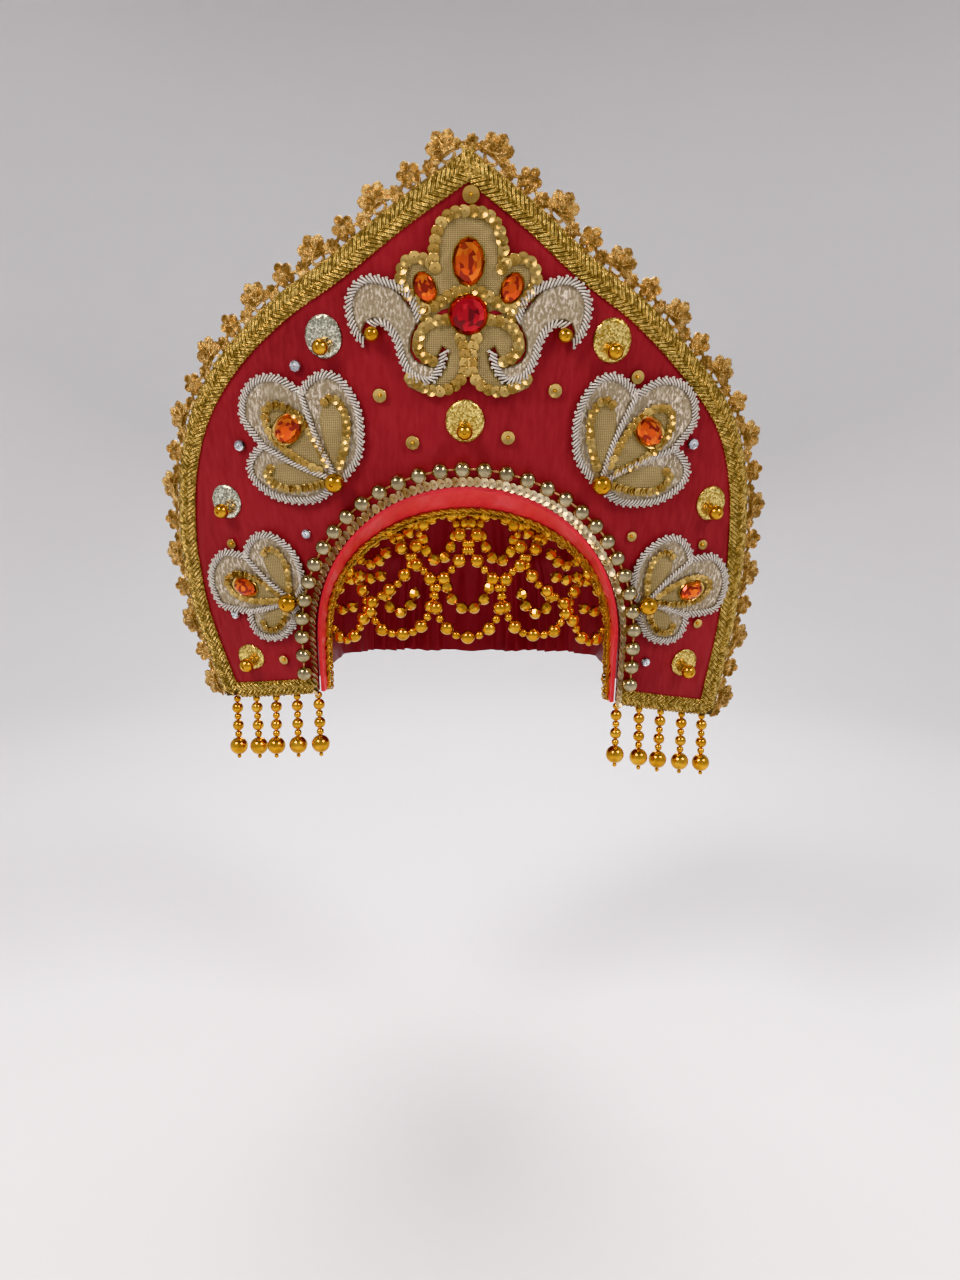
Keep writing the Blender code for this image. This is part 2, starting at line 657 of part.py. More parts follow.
def make_cap():
    grids = []
    for skin in (CLOTH, 0.0):
        columns = []
        for smooth, gathered in zip(cap_edge(skin), cap_edge(skin, gathers=True)):
            column = []
            for share in CAP_ROWS:
                height = (1 - share ** CAP_ROUNDNESS) ** (1 / CAP_ROUNDNESS)
                end = smooth.lerp(gathered, share ** GATHER_RISE)
                column.append(Vector((end.x * share, end.y * share, end.z + (skin - end.z) * height)))
            columns.append(column)
        grids.append(columns)
    dome("back_cap", *grids, "red_satin")


def net_cell(points, inset):
    """A hole of the net: the cell's corners, drawn in by half a strand."""
    moved = sideways([points[-1], *points, points[0]], inset)
    return moved[1:-1]


def net_knot(name):
    """A knot or dip of the net's right half."""
    across, down = NET_KNOTS[name]
    return Vector((across * NET_CELL, -down * NET_DEPTH))


def mirrored(points):
    return [Vector((-point.x, point.y)) for point in reversed(points)]


def scallop(start, dip, end):
    """A strand that hangs between two knots, through its lowest point."""
    middle = dip * 2 - (start + end) / 2
    points = []
    for step in range(SCALLOP_STEPS + 1):
        t = step / SCALLOP_STEPS
        points.append(start * (1 - t) ** 2 + middle * 2 * t * (1 - t) + end * t ** 2)
    return points


def make_net():
    edge = band_grid(CLOTH + CLEARANCE + BAND_BRAID_HEIGHT, (1.0,))[0]
    hem = [Vector((point.x, point.z - band_top())) for point in edge]
    half = max(point.x for point in hem)
    strand = NET_STRAND / 2

    def under_band(share, drop):
        """A point below the band's inner edge, at a share of its half width."""
        x = share * half
        index = next(i for i in range(1, len(hem)) if hem[i].x >= x)
        part = (x - hem[index - 1].x) / (hem[index].x - hem[index - 1].x)
        return Vector((x, hem[index - 1].lerp(hem[index], part).y - drop))

    top, side, low, outer = (net_knot(name) for name in ("top", "side", "low", "outer"))
    ties = [under_band(share, strand) for share in NET_TIE_SHARES]
    middle_scallop = scallop(Vector((-low.x, low.y)), net_knot("middle_dip"), low)
    side_scallop = scallop(low, net_knot("side_dip"), outer)
    end_scallop = scallop(outer, net_knot("end_dip"), ties[6])
    cells = [
        [top, ties[1], ties[0], Vector((-ties[1].x, ties[1].y))],
        middle_scallop + [top],
    ]
    for cell in (
        [top, low, side, ties[2], ties[1]],
        [side, ties[3], ties[2]],
        [side, outer, ties[5], ties[4], ties[3]],
        side_scallop + [side],
        end_scallop + [ties[5]],
    ):
        cells += [cell, mirrored(cell)]
    holes = [net_cell(cell, NET_STRAND * NET_HOLE_INSET) for cell in cells]
    rim = [under_band(share, -NET_OVERLAP) for share in NET_RIM_SHARES]
    half_scallop = middle_scallop[SCALLOP_STEPS // 2:]
    lower = sideways(half_scallop + side_scallop[1:] + end_scallop[1:], -strand)
    right = lower[:-1] + rim
    outline = right + mirrored(right)[1:-1]
    plate("forehead_net", outline, -NET_STRAND, 0.0, "gold_bead", holes, faceted(forehead_point))


def make_pendants():
    for side, left in (("left", True), ("right", False)):
        inner, corner = foot(left), crown_side(left)[-1]
        for index in range(PENDANTS):
            place = inner.lerp(corner, PENDANT_FIRST + PENDANT_STEP * index)
            top = board_point(place.x, place.y, -PANEL_THICKNESS / 2) - Vector((0, 0, CLEARANCE * 3))
            centres = [top - Vector((0, 0, PENDANT_LENGTH * share)) for share, size in PENDANT_RINGS]
            radii = [PENDANT_BEAD * size for share, size in PENDANT_RINGS]
            ups = [Vector((0, -1, 0))] * len(centres)
            sweep("pendant_%s_%d" % (side, index + 1), centres, radii, ups, "gold_bead")


def crest_point(share_u, share_s):
    return Vector((share_u * CREST_HALF, CREST_FOOT + share_s * CREST_HEIGHT))


def make_crest():
    low, high = CLEARANCE, CLEARANCE + PATCH_HEIGHT
    right = [crest_point(*row) for row in CREST_OUTLINE]
    left = [Vector((-point.x, point.y)) for point in right[-2:0:-1]]
    plate("crest_patch", right + left, low, high, "gold_cloth")
    stone("crest_stone_top", 0.0, crest_point(0, CREST_STONE_AT).y, high, *CREST_STONE, 0.0,
          STONE_HEIGHT, "amber_stone")
    stone("crest_stone_round", 0.0, crest_point(0, ROUND_STONE_AT).y, high, ROUND_STONE, ROUND_STONE,
          0.0, STONE_HEIGHT, "red_stone")
    for side, sign in (("left", -1), ("right", 1)):
        place = crest_point(*SIDE_STONE_AT)
        stone("crest_stone_" + side, sign * place.x, place.y, high, *SIDE_STONE,
              sign * SIDE_STONE_TURN, SMALL_STONE_HEIGHT, "amber_stone")
        outline = [crest_point(*row) for row in SCROLL_OUTLINE]
        outline = [Vector((sign * point.x, point.y)) for point in outline]
        plate("scroll_" + side, outline, low, high, "silver_lame")
        place = crest_point(*SCROLL_BEAD_AT)
        bead("scroll_bead_" + side, sign * place.x, place.y, 0.0, SCROLL_BEAD, "gold_bead")


def flower_outline(base, sign, line, spread, turn, middle, sides):
    """Edge of a flower: line is its middle petal's angle, turn that between two petals' lines."""
    rows = []
    for petal, side in zip((1, -1), sides):
        for degrees, share in (*SIDE_PETAL, NOTCH):
            rows.append((line + petal * (turn + degrees * spread), share * side))
    for degrees, share in MIDDLE_PETAL:
        rows.append((line + degrees * spread, share * middle))
    for degrees in HEART_TURNS:
        rows.append((line + 180 + degrees, FLOWER_HEART))
    outline = []
    for angle, radius in sorted((angle % 360, max(radius, FLOWER_HEART)) for angle, radius in rows):
        turned = math.radians(angle)
        outline.append(base + Vector((sign * math.cos(turned), math.sin(turned))) * radius)
    return outline


def make_flowers():
    high = CLEARANCE + PATCH_HEIGHT
    for kind, side in (("upper", "left"), ("upper", "right"), ("lower", "left"), ("lower", "right")):
        sign, reach = side_sizes(side == "left")[:2]
        line, turn, spread, sides, size, tilt = FLOWER_KINDS[kind]
        if kind == "upper":
            across, length = UPPER_FITS[side]
            middle = length * reach
            centre = Vector((sign * across * reach, UPPER_PLACE * CROWN_RISE))
        else:
            middle = LOWER_FITS[side] * (reach - ARCH_HALF)
            centre = Vector((sign * (ARCH_HALF + LOWER_GAP), -LOWER_PLACE * ARCH_RISE))
        name = "flower_%s_%s" % (kind, side)
        lengths_beside = [share * middle for share in sides]
        outline = flower_outline(centre, sign, line, spread, turn, middle, lengths_beside)
        plate(name, outline, CLEARANCE, high, "silver_lame")
        petal = Vector((sign * math.cos(math.radians(line)), math.sin(math.radians(line))))
        heart = centre + petal * middle * STONE_PLACE
        stone(name + "_stone", heart.x, heart.y, high, *size, sign * math.radians(tilt),
              SMALL_STONE_HEIGHT, "amber_stone")
        bead(name + "_bead", centre.x, centre.y, high, FLOWER_BEAD, "gold_bead")


def make_discs():
    for name, (side, across, height, half_width, half_height) in DISCS.items():
        sign, reach, hem = side_sizes(side == "left")
        u, s = sign * across * reach, height * (CROWN_RISE if height > 0 else hem)
        material = "silver_glitter" if name in SILVER_DISCS else "gold_sequin"
        high = CLEARANCE + DISC_HEIGHT
        plate("disc_" + name, oval(u, s, half_width, half_height, DISC_SIDES), CLEARANCE, high, material)
        bead("disc_bead_" + name, u, s - DISC_BEAD_SINK * half_height, high, DISC_BEAD, "gold_bead")


def main():
    for old in list(bpy.data.objects):
        bpy.data.objects.remove(old)
    make_materials()
    make_panel()
    make_braids()
    make_lace()
    make_arch_strings()
    make_band()
    make_cap()
    make_net()
    make_pendants()
    make_crest()
    make_flowers()
    make_discs()


main()
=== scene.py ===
"""Looks of the kokoshnik headdress: its finishes, sewn ornament, strings of beads and gathered cap.

Metres, +Z up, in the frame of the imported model, whose sizes are repeated here. Left and right are as
seen from the front. Sewn pieces are laid out in places (u, s, lift): u along the board's bend from the
middle, s up the board from the top of the face arch, lift above its face. board() makes them points.
"""
import math

import bmesh
import bpy
import numpy as np
from mathutils import Matrix, Vector, geometry


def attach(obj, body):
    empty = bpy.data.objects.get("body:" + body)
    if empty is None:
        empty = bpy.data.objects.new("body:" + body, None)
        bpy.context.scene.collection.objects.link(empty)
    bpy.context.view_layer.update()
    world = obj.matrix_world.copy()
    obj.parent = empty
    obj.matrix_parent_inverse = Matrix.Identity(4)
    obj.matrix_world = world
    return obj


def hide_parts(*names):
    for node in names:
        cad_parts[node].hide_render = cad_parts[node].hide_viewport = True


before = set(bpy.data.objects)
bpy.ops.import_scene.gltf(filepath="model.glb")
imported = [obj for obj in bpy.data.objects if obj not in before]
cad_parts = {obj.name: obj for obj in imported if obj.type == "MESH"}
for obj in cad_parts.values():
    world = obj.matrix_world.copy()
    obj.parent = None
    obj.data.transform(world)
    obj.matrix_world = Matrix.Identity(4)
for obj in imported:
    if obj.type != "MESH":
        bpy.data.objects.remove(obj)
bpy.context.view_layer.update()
MM = 0.001

# Camera, from the photograph: focal length for the long side, place, pitch down and roll
IMAGE_LONG_SIDE = 1280
FOCAL_PIXELS = 961
SENSOR = 36
CAMERA_PLACE = (0.0068, -0.605, -0.015)
CAMERA_PITCH = math.radians(9.9)
CAMERA_ROLL = math.radians(0.47)

# The board
CLEARANCE = 0.0003
ARCH_FORWARD = 0.105
ARCH_DROP = 0.022
PANEL_LEAN = math.radians(13)
PANEL_BEND = 0.375
PANEL_THICKNESS = 0.0045
LEFT_REACH = 0.167
RIGHT_REACH = 0.159
CROWN_RISE = 0.154
LEFT_HEM = 0.135
RIGHT_HEM = 0.145
LEFT_FOOT = 0.91
RIGHT_FOOT = 0.885
ARCH_HALF = 0.0865
ARCH_RISE = 0.090
# Height as a share of the rise or the hem, then the left and the right side's share of their reach
CROWN_OUTLINE = (
    (1.00, 0.000, 0.000), (0.85, 0.210, 0.200), (0.70, 0.400, 0.375), (0.57, 0.585, 0.555),
    (0.40, 0.765, 0.735), (0.21, 0.895, 0.890), (0.00, 0.970, 0.970), (-0.26, 1.000, 1.000),
    (-0.45, 0.995, 1.000), (-0.63, 0.975, 0.990), (-0.87, 0.915, 0.960), (-1.00, 0.880, 0.945),
)
BRAID_WIDTH = 0.0098
HEM_BRAID_WIDTH = 0.0080
LACE_MOTIFS = 38
LACE_SINK = 0.0019            # the lace's middle, behind the board's face

# Round the arch
BEAD_RADIUS = 0.0042
BEAD_COUNT = 32
BEAD_TOP_GAP = 0.0097
BEAD_SIDE_GAP = 0.0055

# Band, cap and net
CLOTH = 0.0020
BAND_DEPTH_TOP = 0.022
BAND_DEPTH_SIDE = 0.052
BAND_DROP = 0.011
CAP_HALF = 0.0875
CAP_BACK = 0.110
CAP_FRONT_GAP = 0.0045
CAP_SIDE_DROP = 0.136
CAP_NAPE_DROP = 0.148
CAP_ROUNDNESS = 2.4
CAP_ARCH_TURN = math.radians(15)
GATHER_COUNT = 9
GATHER_DEPTH = 0.0026
GATHER_RISE = 3
NET_LEAD = 0.0009

# Pendants: the first one's place and the step to the next are shares of the hem
PENDANTS = 5
PENDANT_FIRST = 0.012
PENDANT_STEP = 0.225

# Sewn ornament
PATCH_HEIGHT = 0.0016
DISC_HEIGHT = 0.0012
STONE_HEIGHT = 0.0048
SMALL_STONE_HEIGHT = 0.0038
CREST_HALF = 0.0385
CREST_HEIGHT = 0.086
CREST_FOOT = 0.0465
CREST_OUTLINE = (
    (0.00, 0.975), (0.15, 0.97), (0.27, 0.945), (0.375, 0.88), (0.435, 0.80), (0.46, 0.73),
    (0.43, 0.675), (0.55, 0.73), (0.65, 0.745), (0.79, 0.72), (0.87, 0.645), (0.86, 0.575),
    (0.74, 0.505), (0.64, 0.45), (0.575, 0.405), (0.64, 0.36), (0.705, 0.30), (0.715, 0.24),
    (0.66, 0.20), (0.60, 0.18), (0.47, 0.17), (0.385, 0.205), (0.33, 0.26), (0.25, 0.235),
    (0.28, 0.165), (0.375, 0.095), (0.50, 0.055), (0.62, 0.05), (0.745, 0.075), (0.84, 0.085),
    (0.77, 0.035), (0.65, 0.01), (0.45, -0.015), (0.21, 0.02), (0.06, 0.08), (0.00, 0.115),
)
SCROLL_OUTLINE = (
    (0.60, 0.395), (0.67, 0.44), (0.77, 0.492), (0.89, 0.56), (1.00, 0.585), (1.13, 0.607),
    (1.25, 0.61), (1.39, 0.58), (1.48, 0.51), (1.48, 0.42), (1.42, 0.335), (1.31, 0.29),
    (1.345, 0.335), (1.305, 0.38), (1.20, 0.40), (1.09, 0.39), (0.98, 0.35), (0.89, 0.27),
    (0.85, 0.18), (0.755, 0.11), (0.60, 0.07), (0.47, 0.08), (0.355, 0.135), (0.29, 0.20),
    (0.28, 0.23), (0.308, 0.238), (0.37, 0.188), (0.45, 0.155), (0.60, 0.165), (0.68, 0.185),
    (0.735, 0.235), (0.725, 0.305), (0.66, 0.368),
)
# Lines of the crest's right half, in millimetres of (u, s)
CREST_CHAINS = (
    ((0, 129), (5, 128.8), (10.3, 126.5), (14, 121.5), (15.8, 115), (16.4, 109), (15.6, 104.5)),
    ((17.5, 106.6), (21.5, 108.6), (26.5, 108.9), (30.6, 105.6), (32, 100), (30, 94.5), (26, 90.5),
     (22.5, 87), (21, 83)),
    ((0, 95.4), (5, 94.2), (10.2, 91.6), (15, 88.2), (20.5, 86)),
    ((10.5, 81.5), (16, 80.6), (21.2, 77.6), (23.8, 73), (24, 68.2), (21.8, 64.4), (17.2, 62.2)),
    ((28.6, 53.8), (22.3, 49.8), (16.2, 47.8), (10, 48.8), (4.8, 52), (2, 57), (1.7, 62.5), (2, 68),
     (4, 73)),
)
SCROLL_CORDS = (
    ((23.5, 82), (27, 90), (33, 95.5), (41, 98.5), (48, 99), (53.5, 96), (57, 90), (57, 82.5),
     (54.5, 75), (51, 71)),
    ((47, 79), (42, 80), (37.5, 77), (34, 71), (32, 63.5), (28.5, 57), (23, 53.5), (17.5, 54),
     (13.5, 60), (12, 66)),
)
# Place as shares of the crest's half width and height, half width, half height and turn
CREST_STONES = {
    "top": (0.0, 0.707, 0.0073, 0.0105, 0.0),
    "left": (-0.53, 0.573, 0.0051, 0.0072, math.radians(24)),
    "right": (0.53, 0.573, 0.0051, 0.0072, math.radians(-24)),
    "round": (0.0, 0.435, 0.0092, 0.0092, 0.0),
}
SCROLL_BEAD = 0.0036
SCROLL_BEAD_AT = (1.205, 0.325)

# Flowers, as in the part's source: degrees past a petal's line and shares of its length
SIDE_PETAL = ((-8, 0.95), (0, 1.00), (6, 0.99), (12, 0.93), (20, 0.80), (27, 0.67), (36, 0.49),
              (48, 0.31))
NOTCH = (-15, 0.88)
MIDDLE_PETAL = ((-16, 0.885), (-10, 0.96), (-3.5, 1.00), (3.5, 1.00), (10, 0.96), (16, 0.885))
FLOWER_BEAD = 0.0050
FLOWER_HEART = 0.0055
STONE_PLACE = 0.56
UPPER_PLACE = 0.007
LOWER_PLACE = 0.75
LOWER_GAP = 0.0115
# Line and turn in degrees, spread, the side petals' shares, the stone's half sizes and its tilt
FLOWER_KINDS = {
    "upper": (45.5, 38.5, 1.00, (0.836, 0.758), (0.0098, 0.0070), 135),
    "lower": (10.5, 51.0, 1.35, (0.780, 0.620), (0.0078, 0.0060), 8),
}
# Shares of the reach, or of what is left of it beside the arch: the upper flowers' place and length,
# the lower ones' length
UPPER_FITS = {"left": (0.4050, 0.3832), "right": (0.4254, 0.4025)}
LOWER_FITS = {"left": 0.6211, "right": 0.6897}

# Glitter discs: side, share of its reach, share of the rise or of its hem, half width, half height
DISCS = {
    "upper_left": ("left", 0.4295, 0.470, 0.0095, 0.0105),
    "upper_right": ("right", 0.4460, 0.465, 0.0097, 0.0108),
    "middle": ("left", 0.0100, 0.215, 0.0097, 0.0106),
    "side_left": ("left", 0.8020, -0.114, 0.0090, 0.0094),
    "side_right": ("right", 0.8430, -0.097, 0.0088, 0.0094),
    "lower_left": ("left", 0.7630, -0.788, 0.0084, 0.0076),
    "lower_right": ("right", 0.7990, -0.743, 0.0080, 0.0082),
}
SILVER_DISCS = ("upper_left", "side_left")
DISC_BEAD = 0.0040
DISC_BEAD_SINK = 0.42

# Loose sequins and crystals on the satin: u, s and diameter, in millimetres
LOOSE_SEQUINS = (
    (1, 136, 8), (-44, 45, 7), (43, 48, 7), (-28, 22, 7), (20, 25, 7), (85, 54, 7), (-133, -39, 5.5),
    (131, -37, 5.5), (88, -29, 5.5), (-106, -105, 5.5), (133, -84, 5.5),
)
CRYSTALS = (
    (-87, 58, 6.5), (-122, 16, 6.5), (119, 19, 6.5), (-87, -29, 5.5), (-135, -81, 5.5),
    (102, -104, 5.5),
)

# The net, right half: x and z from the band's top, in millimetres. Round strands, then faceted loops
NET_ROUND = (
    ((0, -22), (4.5, -16), (7, -9), (11, -1.5)),
    ((0, -22), (6, -31), (13, -39), (18.5, -46.8)),
    ((18.5, -46.8), (22, -38), (31, -30.2)),
    ((31, -30.2), (28, -20), (25, -11), (20, -3)),
    ((31, -30.2), (38, -22), (46, -16), (50, -13)),
    ((31, -30.2), (38, -42), (47, -49), (57, -56.5)),
    ((57, -56.5), (60, -47), (66, -40), (70, -35)),
    ((18.5, -46.8), (16.5, -60), (9, -69.5), (0, -72)),
    ((18.5, -46.8), (22, -60), (29, -69), (39.2, -71.6), (49, -69), (57, -56.5)),
    ((57, -56.5), (61, -68), (67, -76.5), (73, -77), (79, -70)),
    ((0, -3.5), (8, -4), (16, -5.5), (24, -7.5), (33, -10), (42, -13.5), (50, -18), (58, -24.5),
     (65, -32), (71, -41), (76, -51)),
)
NET_FACETED = (
    ((12.5, -41), (9.5, -50), (0, -57)),
    ((29, -45), (31.5, -54), (38.5, -59.5), (45, -55), (46.5, -47)),
    ((6, -13), (10.5, -24), (16, -30), (22.5, -26), (25.5, -15)),
    ((27, -8), (33, -15), (41, -17.5), (45, -13)),
    ((44, -24), (50, -31), (57, -33), (63, -29)),
    ((46, -38), (54, -41), (62, -40), (70, -44)),
    ((63, -56), (70, -60), (77, -59), (81, -54)),
    ((0, -12), (3.5, -6), (6, -2)),
)
NET_BIG = 0.00390
NET_SMALL = 0.0024
NET_CUT = 0.0035              # radius of the faceted beads
NET_LIFT = -0.0026

UP = np.array([0.0, 0.0, 1.0])
TOWARDS_FACE = (0, -1, 0)

# Side: its sign along u, the crown's reach, the hem's depth and the foot's share of it
SIDES = {"left": (-1, LEFT_REACH, LEFT_HEM, LEFT_FOOT), "right": (1, RIGHT_REACH, RIGHT_HEM, RIGHT_FOOT)}


def unit(vectors):
    vectors = np.asarray(vectors, float)
    return vectors / np.maximum(np.linalg.norm(vectors, axis=-1, keepdims=True), 1e-12)


def board(places):
    """Points on the smoothly bent board, from places (u, s, lift)."""
    u, s, lift = np.moveaxis(np.asarray(places, float), -1, 0)
    radius = PANEL_BEND + lift
    turn = u / PANEL_BEND
    back = PANEL_BEND - radius * np.cos(turn)
    y = back * math.cos(PANEL_LEAN) - s * math.sin(PANEL_LEAN) - ARCH_FORWARD
    z = s * math.cos(PANEL_LEAN) + back * math.sin(PANEL_LEAN) - ARCH_DROP
    return np.stack([radius * np.sin(turn), y, z], -1)


def band_depth(x):
    share = np.minimum(np.abs(x) / ARCH_HALF, 1.0) ** 2
    return BAND_DEPTH_TOP + (BAND_DEPTH_SIDE - BAND_DEPTH_TOP) * share - ARCH_FORWARD


def forehead(places):
    """Points on the upright sheet that the bead net hangs in, from places (x, z below the band, lift)."""
    x, z, lift = np.moveaxis(np.asarray(places, float), -1, 0)
    return np.stack([x, band_depth(x) + NET_LEAD - lift, z - ARCH_DROP - BAND_DROP], -1)


def curve(points, steps=8, closed=False):
    """A Catmull-Rom curve through the points."""
    points = np.asarray(points, float)
    if closed:
        ends = np.concatenate([points[-1:], points, points[:2]])
    else:
        ends = np.concatenate([2 * points[:1] - points[1:2], points, 2 * points[-1:] - points[-2:-1]])
    t = (np.arange(steps) / steps)[None, :, None]
    before, start, end, after = (ends[i:len(ends) - 3 + i, None] for i in range(4))
    line = 0.5 * (2 * start + (end - before) * t + (2 * before - 5 * start + 4 * end - after) * t ** 2
                  + (3 * start - before - 3 * end + after) * t ** 3)
    line = line.reshape(-1, points.shape[1])
    return line if closed else np.concatenate([line, points[-1:]])


def millimetres(row):
    """A curve through points given in millimetres."""
    return curve(np.array(row, float) * MM)


def total_length(line):
    return float(np.linalg.norm(np.diff(line, axis=0), axis=1).sum())


def along(line, distances):
    """Points at distances along a line, and the line's direction there."""
    line = np.asarray(line, float)
    at = np.concatenate([[0], np.cumsum(np.linalg.norm(np.diff(line, axis=0), axis=1))])
    distances = np.asarray(distances, float)
    points = np.stack([np.interp(distances, at, line[:, k]) for k in range(line.shape[1])], -1)
    step = at[-1] * 1e-3
    ends = [np.stack([np.interp(np.clip(distances + sign * step, 0, at[-1]), at, line[:, k])
                      for k in range(line.shape[1])], -1) for sign in (-1, 1)]
    return points, unit(ends[1] - ends[0])


def spaced(line, step):
    """Points about a step apart along a line, from one end to the other."""
    total = total_length(line)
    return along(line, np.linspace(0, total, max(2, round(total / step) + 1)))


def left_of(ahead):
    """Flat directions a quarter turn to the left of others."""
    return np.stack([-ahead[..., 1], ahead[..., 0]], -1)


def sideways(line, distance):
    """A flat line moved to its left."""
    return line + distance * left_of(unit(np.gradient(np.asarray(line, float), axis=0)))


def lifted(line, lift=0.0):
    """A flat line as places, at one lift or with a lift for each point."""
    return np.column_stack([line, np.broadcast_to(lift, len(line))])


def mirrored(line):
    return np.asarray(line, float) * (-1, 1)


def over_top(left, right):
    """One line from the left one's end over the middle to the right one's end."""
    return np.concatenate([left[::-1], right[1:]])


def flat_axes(ahead, left):
    """Axes of copies that lie flat on the board, from their X and Y directions."""
    axes = np.zeros((len(ahead), 3, 3))
    axes[:, 0, :2], axes[:, 1, :2], axes[:, 2, 2] = ahead, left, 1
    return axes


def tilted_axes(x, y):
    """Axes of copies from their X directions and rough Y directions."""
    z = unit(np.cross(x, y))
    return np.stack([x, np.cross(z, x), z], -2)


def frames_along(directions, ups):
    """Axes whose Z follows the directions."""
    z = unit(directions)
    x = unit(np.cross(np.broadcast_to(ups, z.shape), z))
    return np.stack([x, np.cross(z, x), z], 1)


def grid_faces(rows, columns, round_rows=False, round_columns=False):
    i = np.arange(rows if round_rows else rows - 1)
    j = np.arange(columns if round_columns else columns - 1)
    i, j = (index.ravel() for index in np.meshgrid(i, j, indexing="ij"))
    below, beside = (i + 1) % rows, (j + 1) % columns
    return np.stack([i * columns + j, i * columns + beside, below * columns + beside,
                     below * columns + j], 1)


def turned(profile, sides, closed=False):
    """A template turned round its Z axis from rows (radius, height)."""
    profile = np.asarray(profile, float)
    angles = 2 * np.pi * np.arange(sides) / sides
    radius, height = profile[:, 0, None], profile[:, 1, None] + 0 * angles
    points = np.stack([radius * np.cos(angles), radius * np.sin(angles), height], -1)
    return points.reshape(-1, 3), grid_faces(len(profile), sides, closed, True)


def sphere(rings, sides):
    """A plain unit sphere for seeds and knots."""
    return turned([(math.sin(a), math.cos(a)) for a in np.linspace(0, np.pi, rings)], sides)


def tube(line, radii, sides, up=(0, 0, 1), flat=1.0):
    """A template of a round cord along a line, its ends drawn to a point."""
    line = np.asarray(line, float)
    ahead = unit(np.gradient(line, axis=0))
    across = unit(np.cross(ahead, up))
    above = np.cross(across, ahead) * flat
    angles = 2 * np.pi * np.arange(sides) / sides
    radii = np.broadcast_to(np.asarray(radii, float), len(line))[:, None, None]
    rings = line[:, None] + radii * (np.cos(angles)[:, None] * across[:, None]
                                     + np.sin(angles)[:, None] * above[:, None])
    rings = np.concatenate([np.repeat(line[:1, None], sides, 1), rings,
                            np.repeat(line[-1:, None], sides, 1)])
    return rings.reshape(-1, 3), grid_faces(len(rings), sides, False, True)


class Shape:
    """Points and faces of one piece, gathered before its mesh is made."""

    def __init__(self):
        self.points = []
        self.faces = []
        self.count = 0

    def add(self, template):
        points, faces = template
        self.points.append(np.asarray(points, float).reshape(-1, 3))
        self.faces.append(np.asarray(faces) + self.count)
        self.count += len(self.points[-1])

    def grid(self, points, round_rows=False, round_columns=False):
        points = np.asarray(points, float)
        self.add((points, grid_faces(*points.shape[:2], round_rows, round_columns)))

    def stamp(self, template, origins, axes=None, sizes=1.0):
        """Copies of a template; axes holds each copy's X, Y and Z directions as rows."""
        points, faces = template
        origins = np.asarray(origins, float).reshape(-1, 3)
        count = len(origins)
        sizes = np.broadcast_to(np.asarray(sizes, float), (count, 3))
        axes = np.broadcast_to(np.eye(3) if axes is None else axes, (count, 3, 3))
        moved = origins[:, None] + (points[None] * sizes[:, None]) @ axes
        starts = (np.arange(count) * len(points))[:, None, None]
        self.add((moved, (faces[None] + starts).reshape(-1, faces.shape[1])))

    def mapped(self, place):
        """The same shape with each point moved by a function, such as board()."""
        self.points = [place(np.concatenate(self.points))]
        return self


# Materials

SATIN_SHEEN = {"Anisotropic": 0.5, "Specular Tint": (1.0, 0.36, 0.40, 1)}
PATTERN_RANGE = (0.3, 0.7)    # a pattern's values that are taken to the ends of a tint or roughness
STONE_COAT = {"Coat Weight": 1.0, "Coat Roughness": 0.02}


def satin(colour, dark, light):
    return (colour, 0.38, 0.0, (
        ("tint", ("noise", 14, 3), dark, 0.8),
        ("tint", ("noise", 420, 2, (1, 1, 0.12)), light, 0.4),
        ("rough", ("noise", 60), 0.32, 0.42),
        ("bump", ("waves", 900, "X", 1.5), 0.00002),
        ("bump", ("noise", 90, 3, (1, 1, 0.3)), 0.00012)), SATIN_SHEEN)


def glitter(colour, flakes):
    return (colour, 0.25, 0.9, (
        ("tint", ("cells", 1100), flakes, 0.9),
        ("rough", ("cells", 1400), 0.12, 0.5),
        ("bump", ("cells", 1100), 0.0005)))


def gem(colour, facet_shade, facet_highlight):
    # The second colour is painted shade and the third a painted highlight, laid on facets and in patches to
    # stand for a cut stone's reflections.
    return (colour, 0.08, 0.9, (
        ("tint", ("ramp", ("facets",), 0.30, 0.42, 1.0, 0.0), facet_shade, 0.9),
        ("tint", ("ramp", ("facets",), 0.70, 0.80), facet_highlight, 0.9),
        ("tint", ("noise", 160), facet_shade, 0.35),
        ("rough", ("noise", 500), 0.05, 0.16)), STONE_COAT)


STITCHES = ("product", ("waves", 300), ("waves", 380, "Z", 1.2))
SCRATCHES = ("noise", 900, 4, (1, 1, 0.4), 0.6)

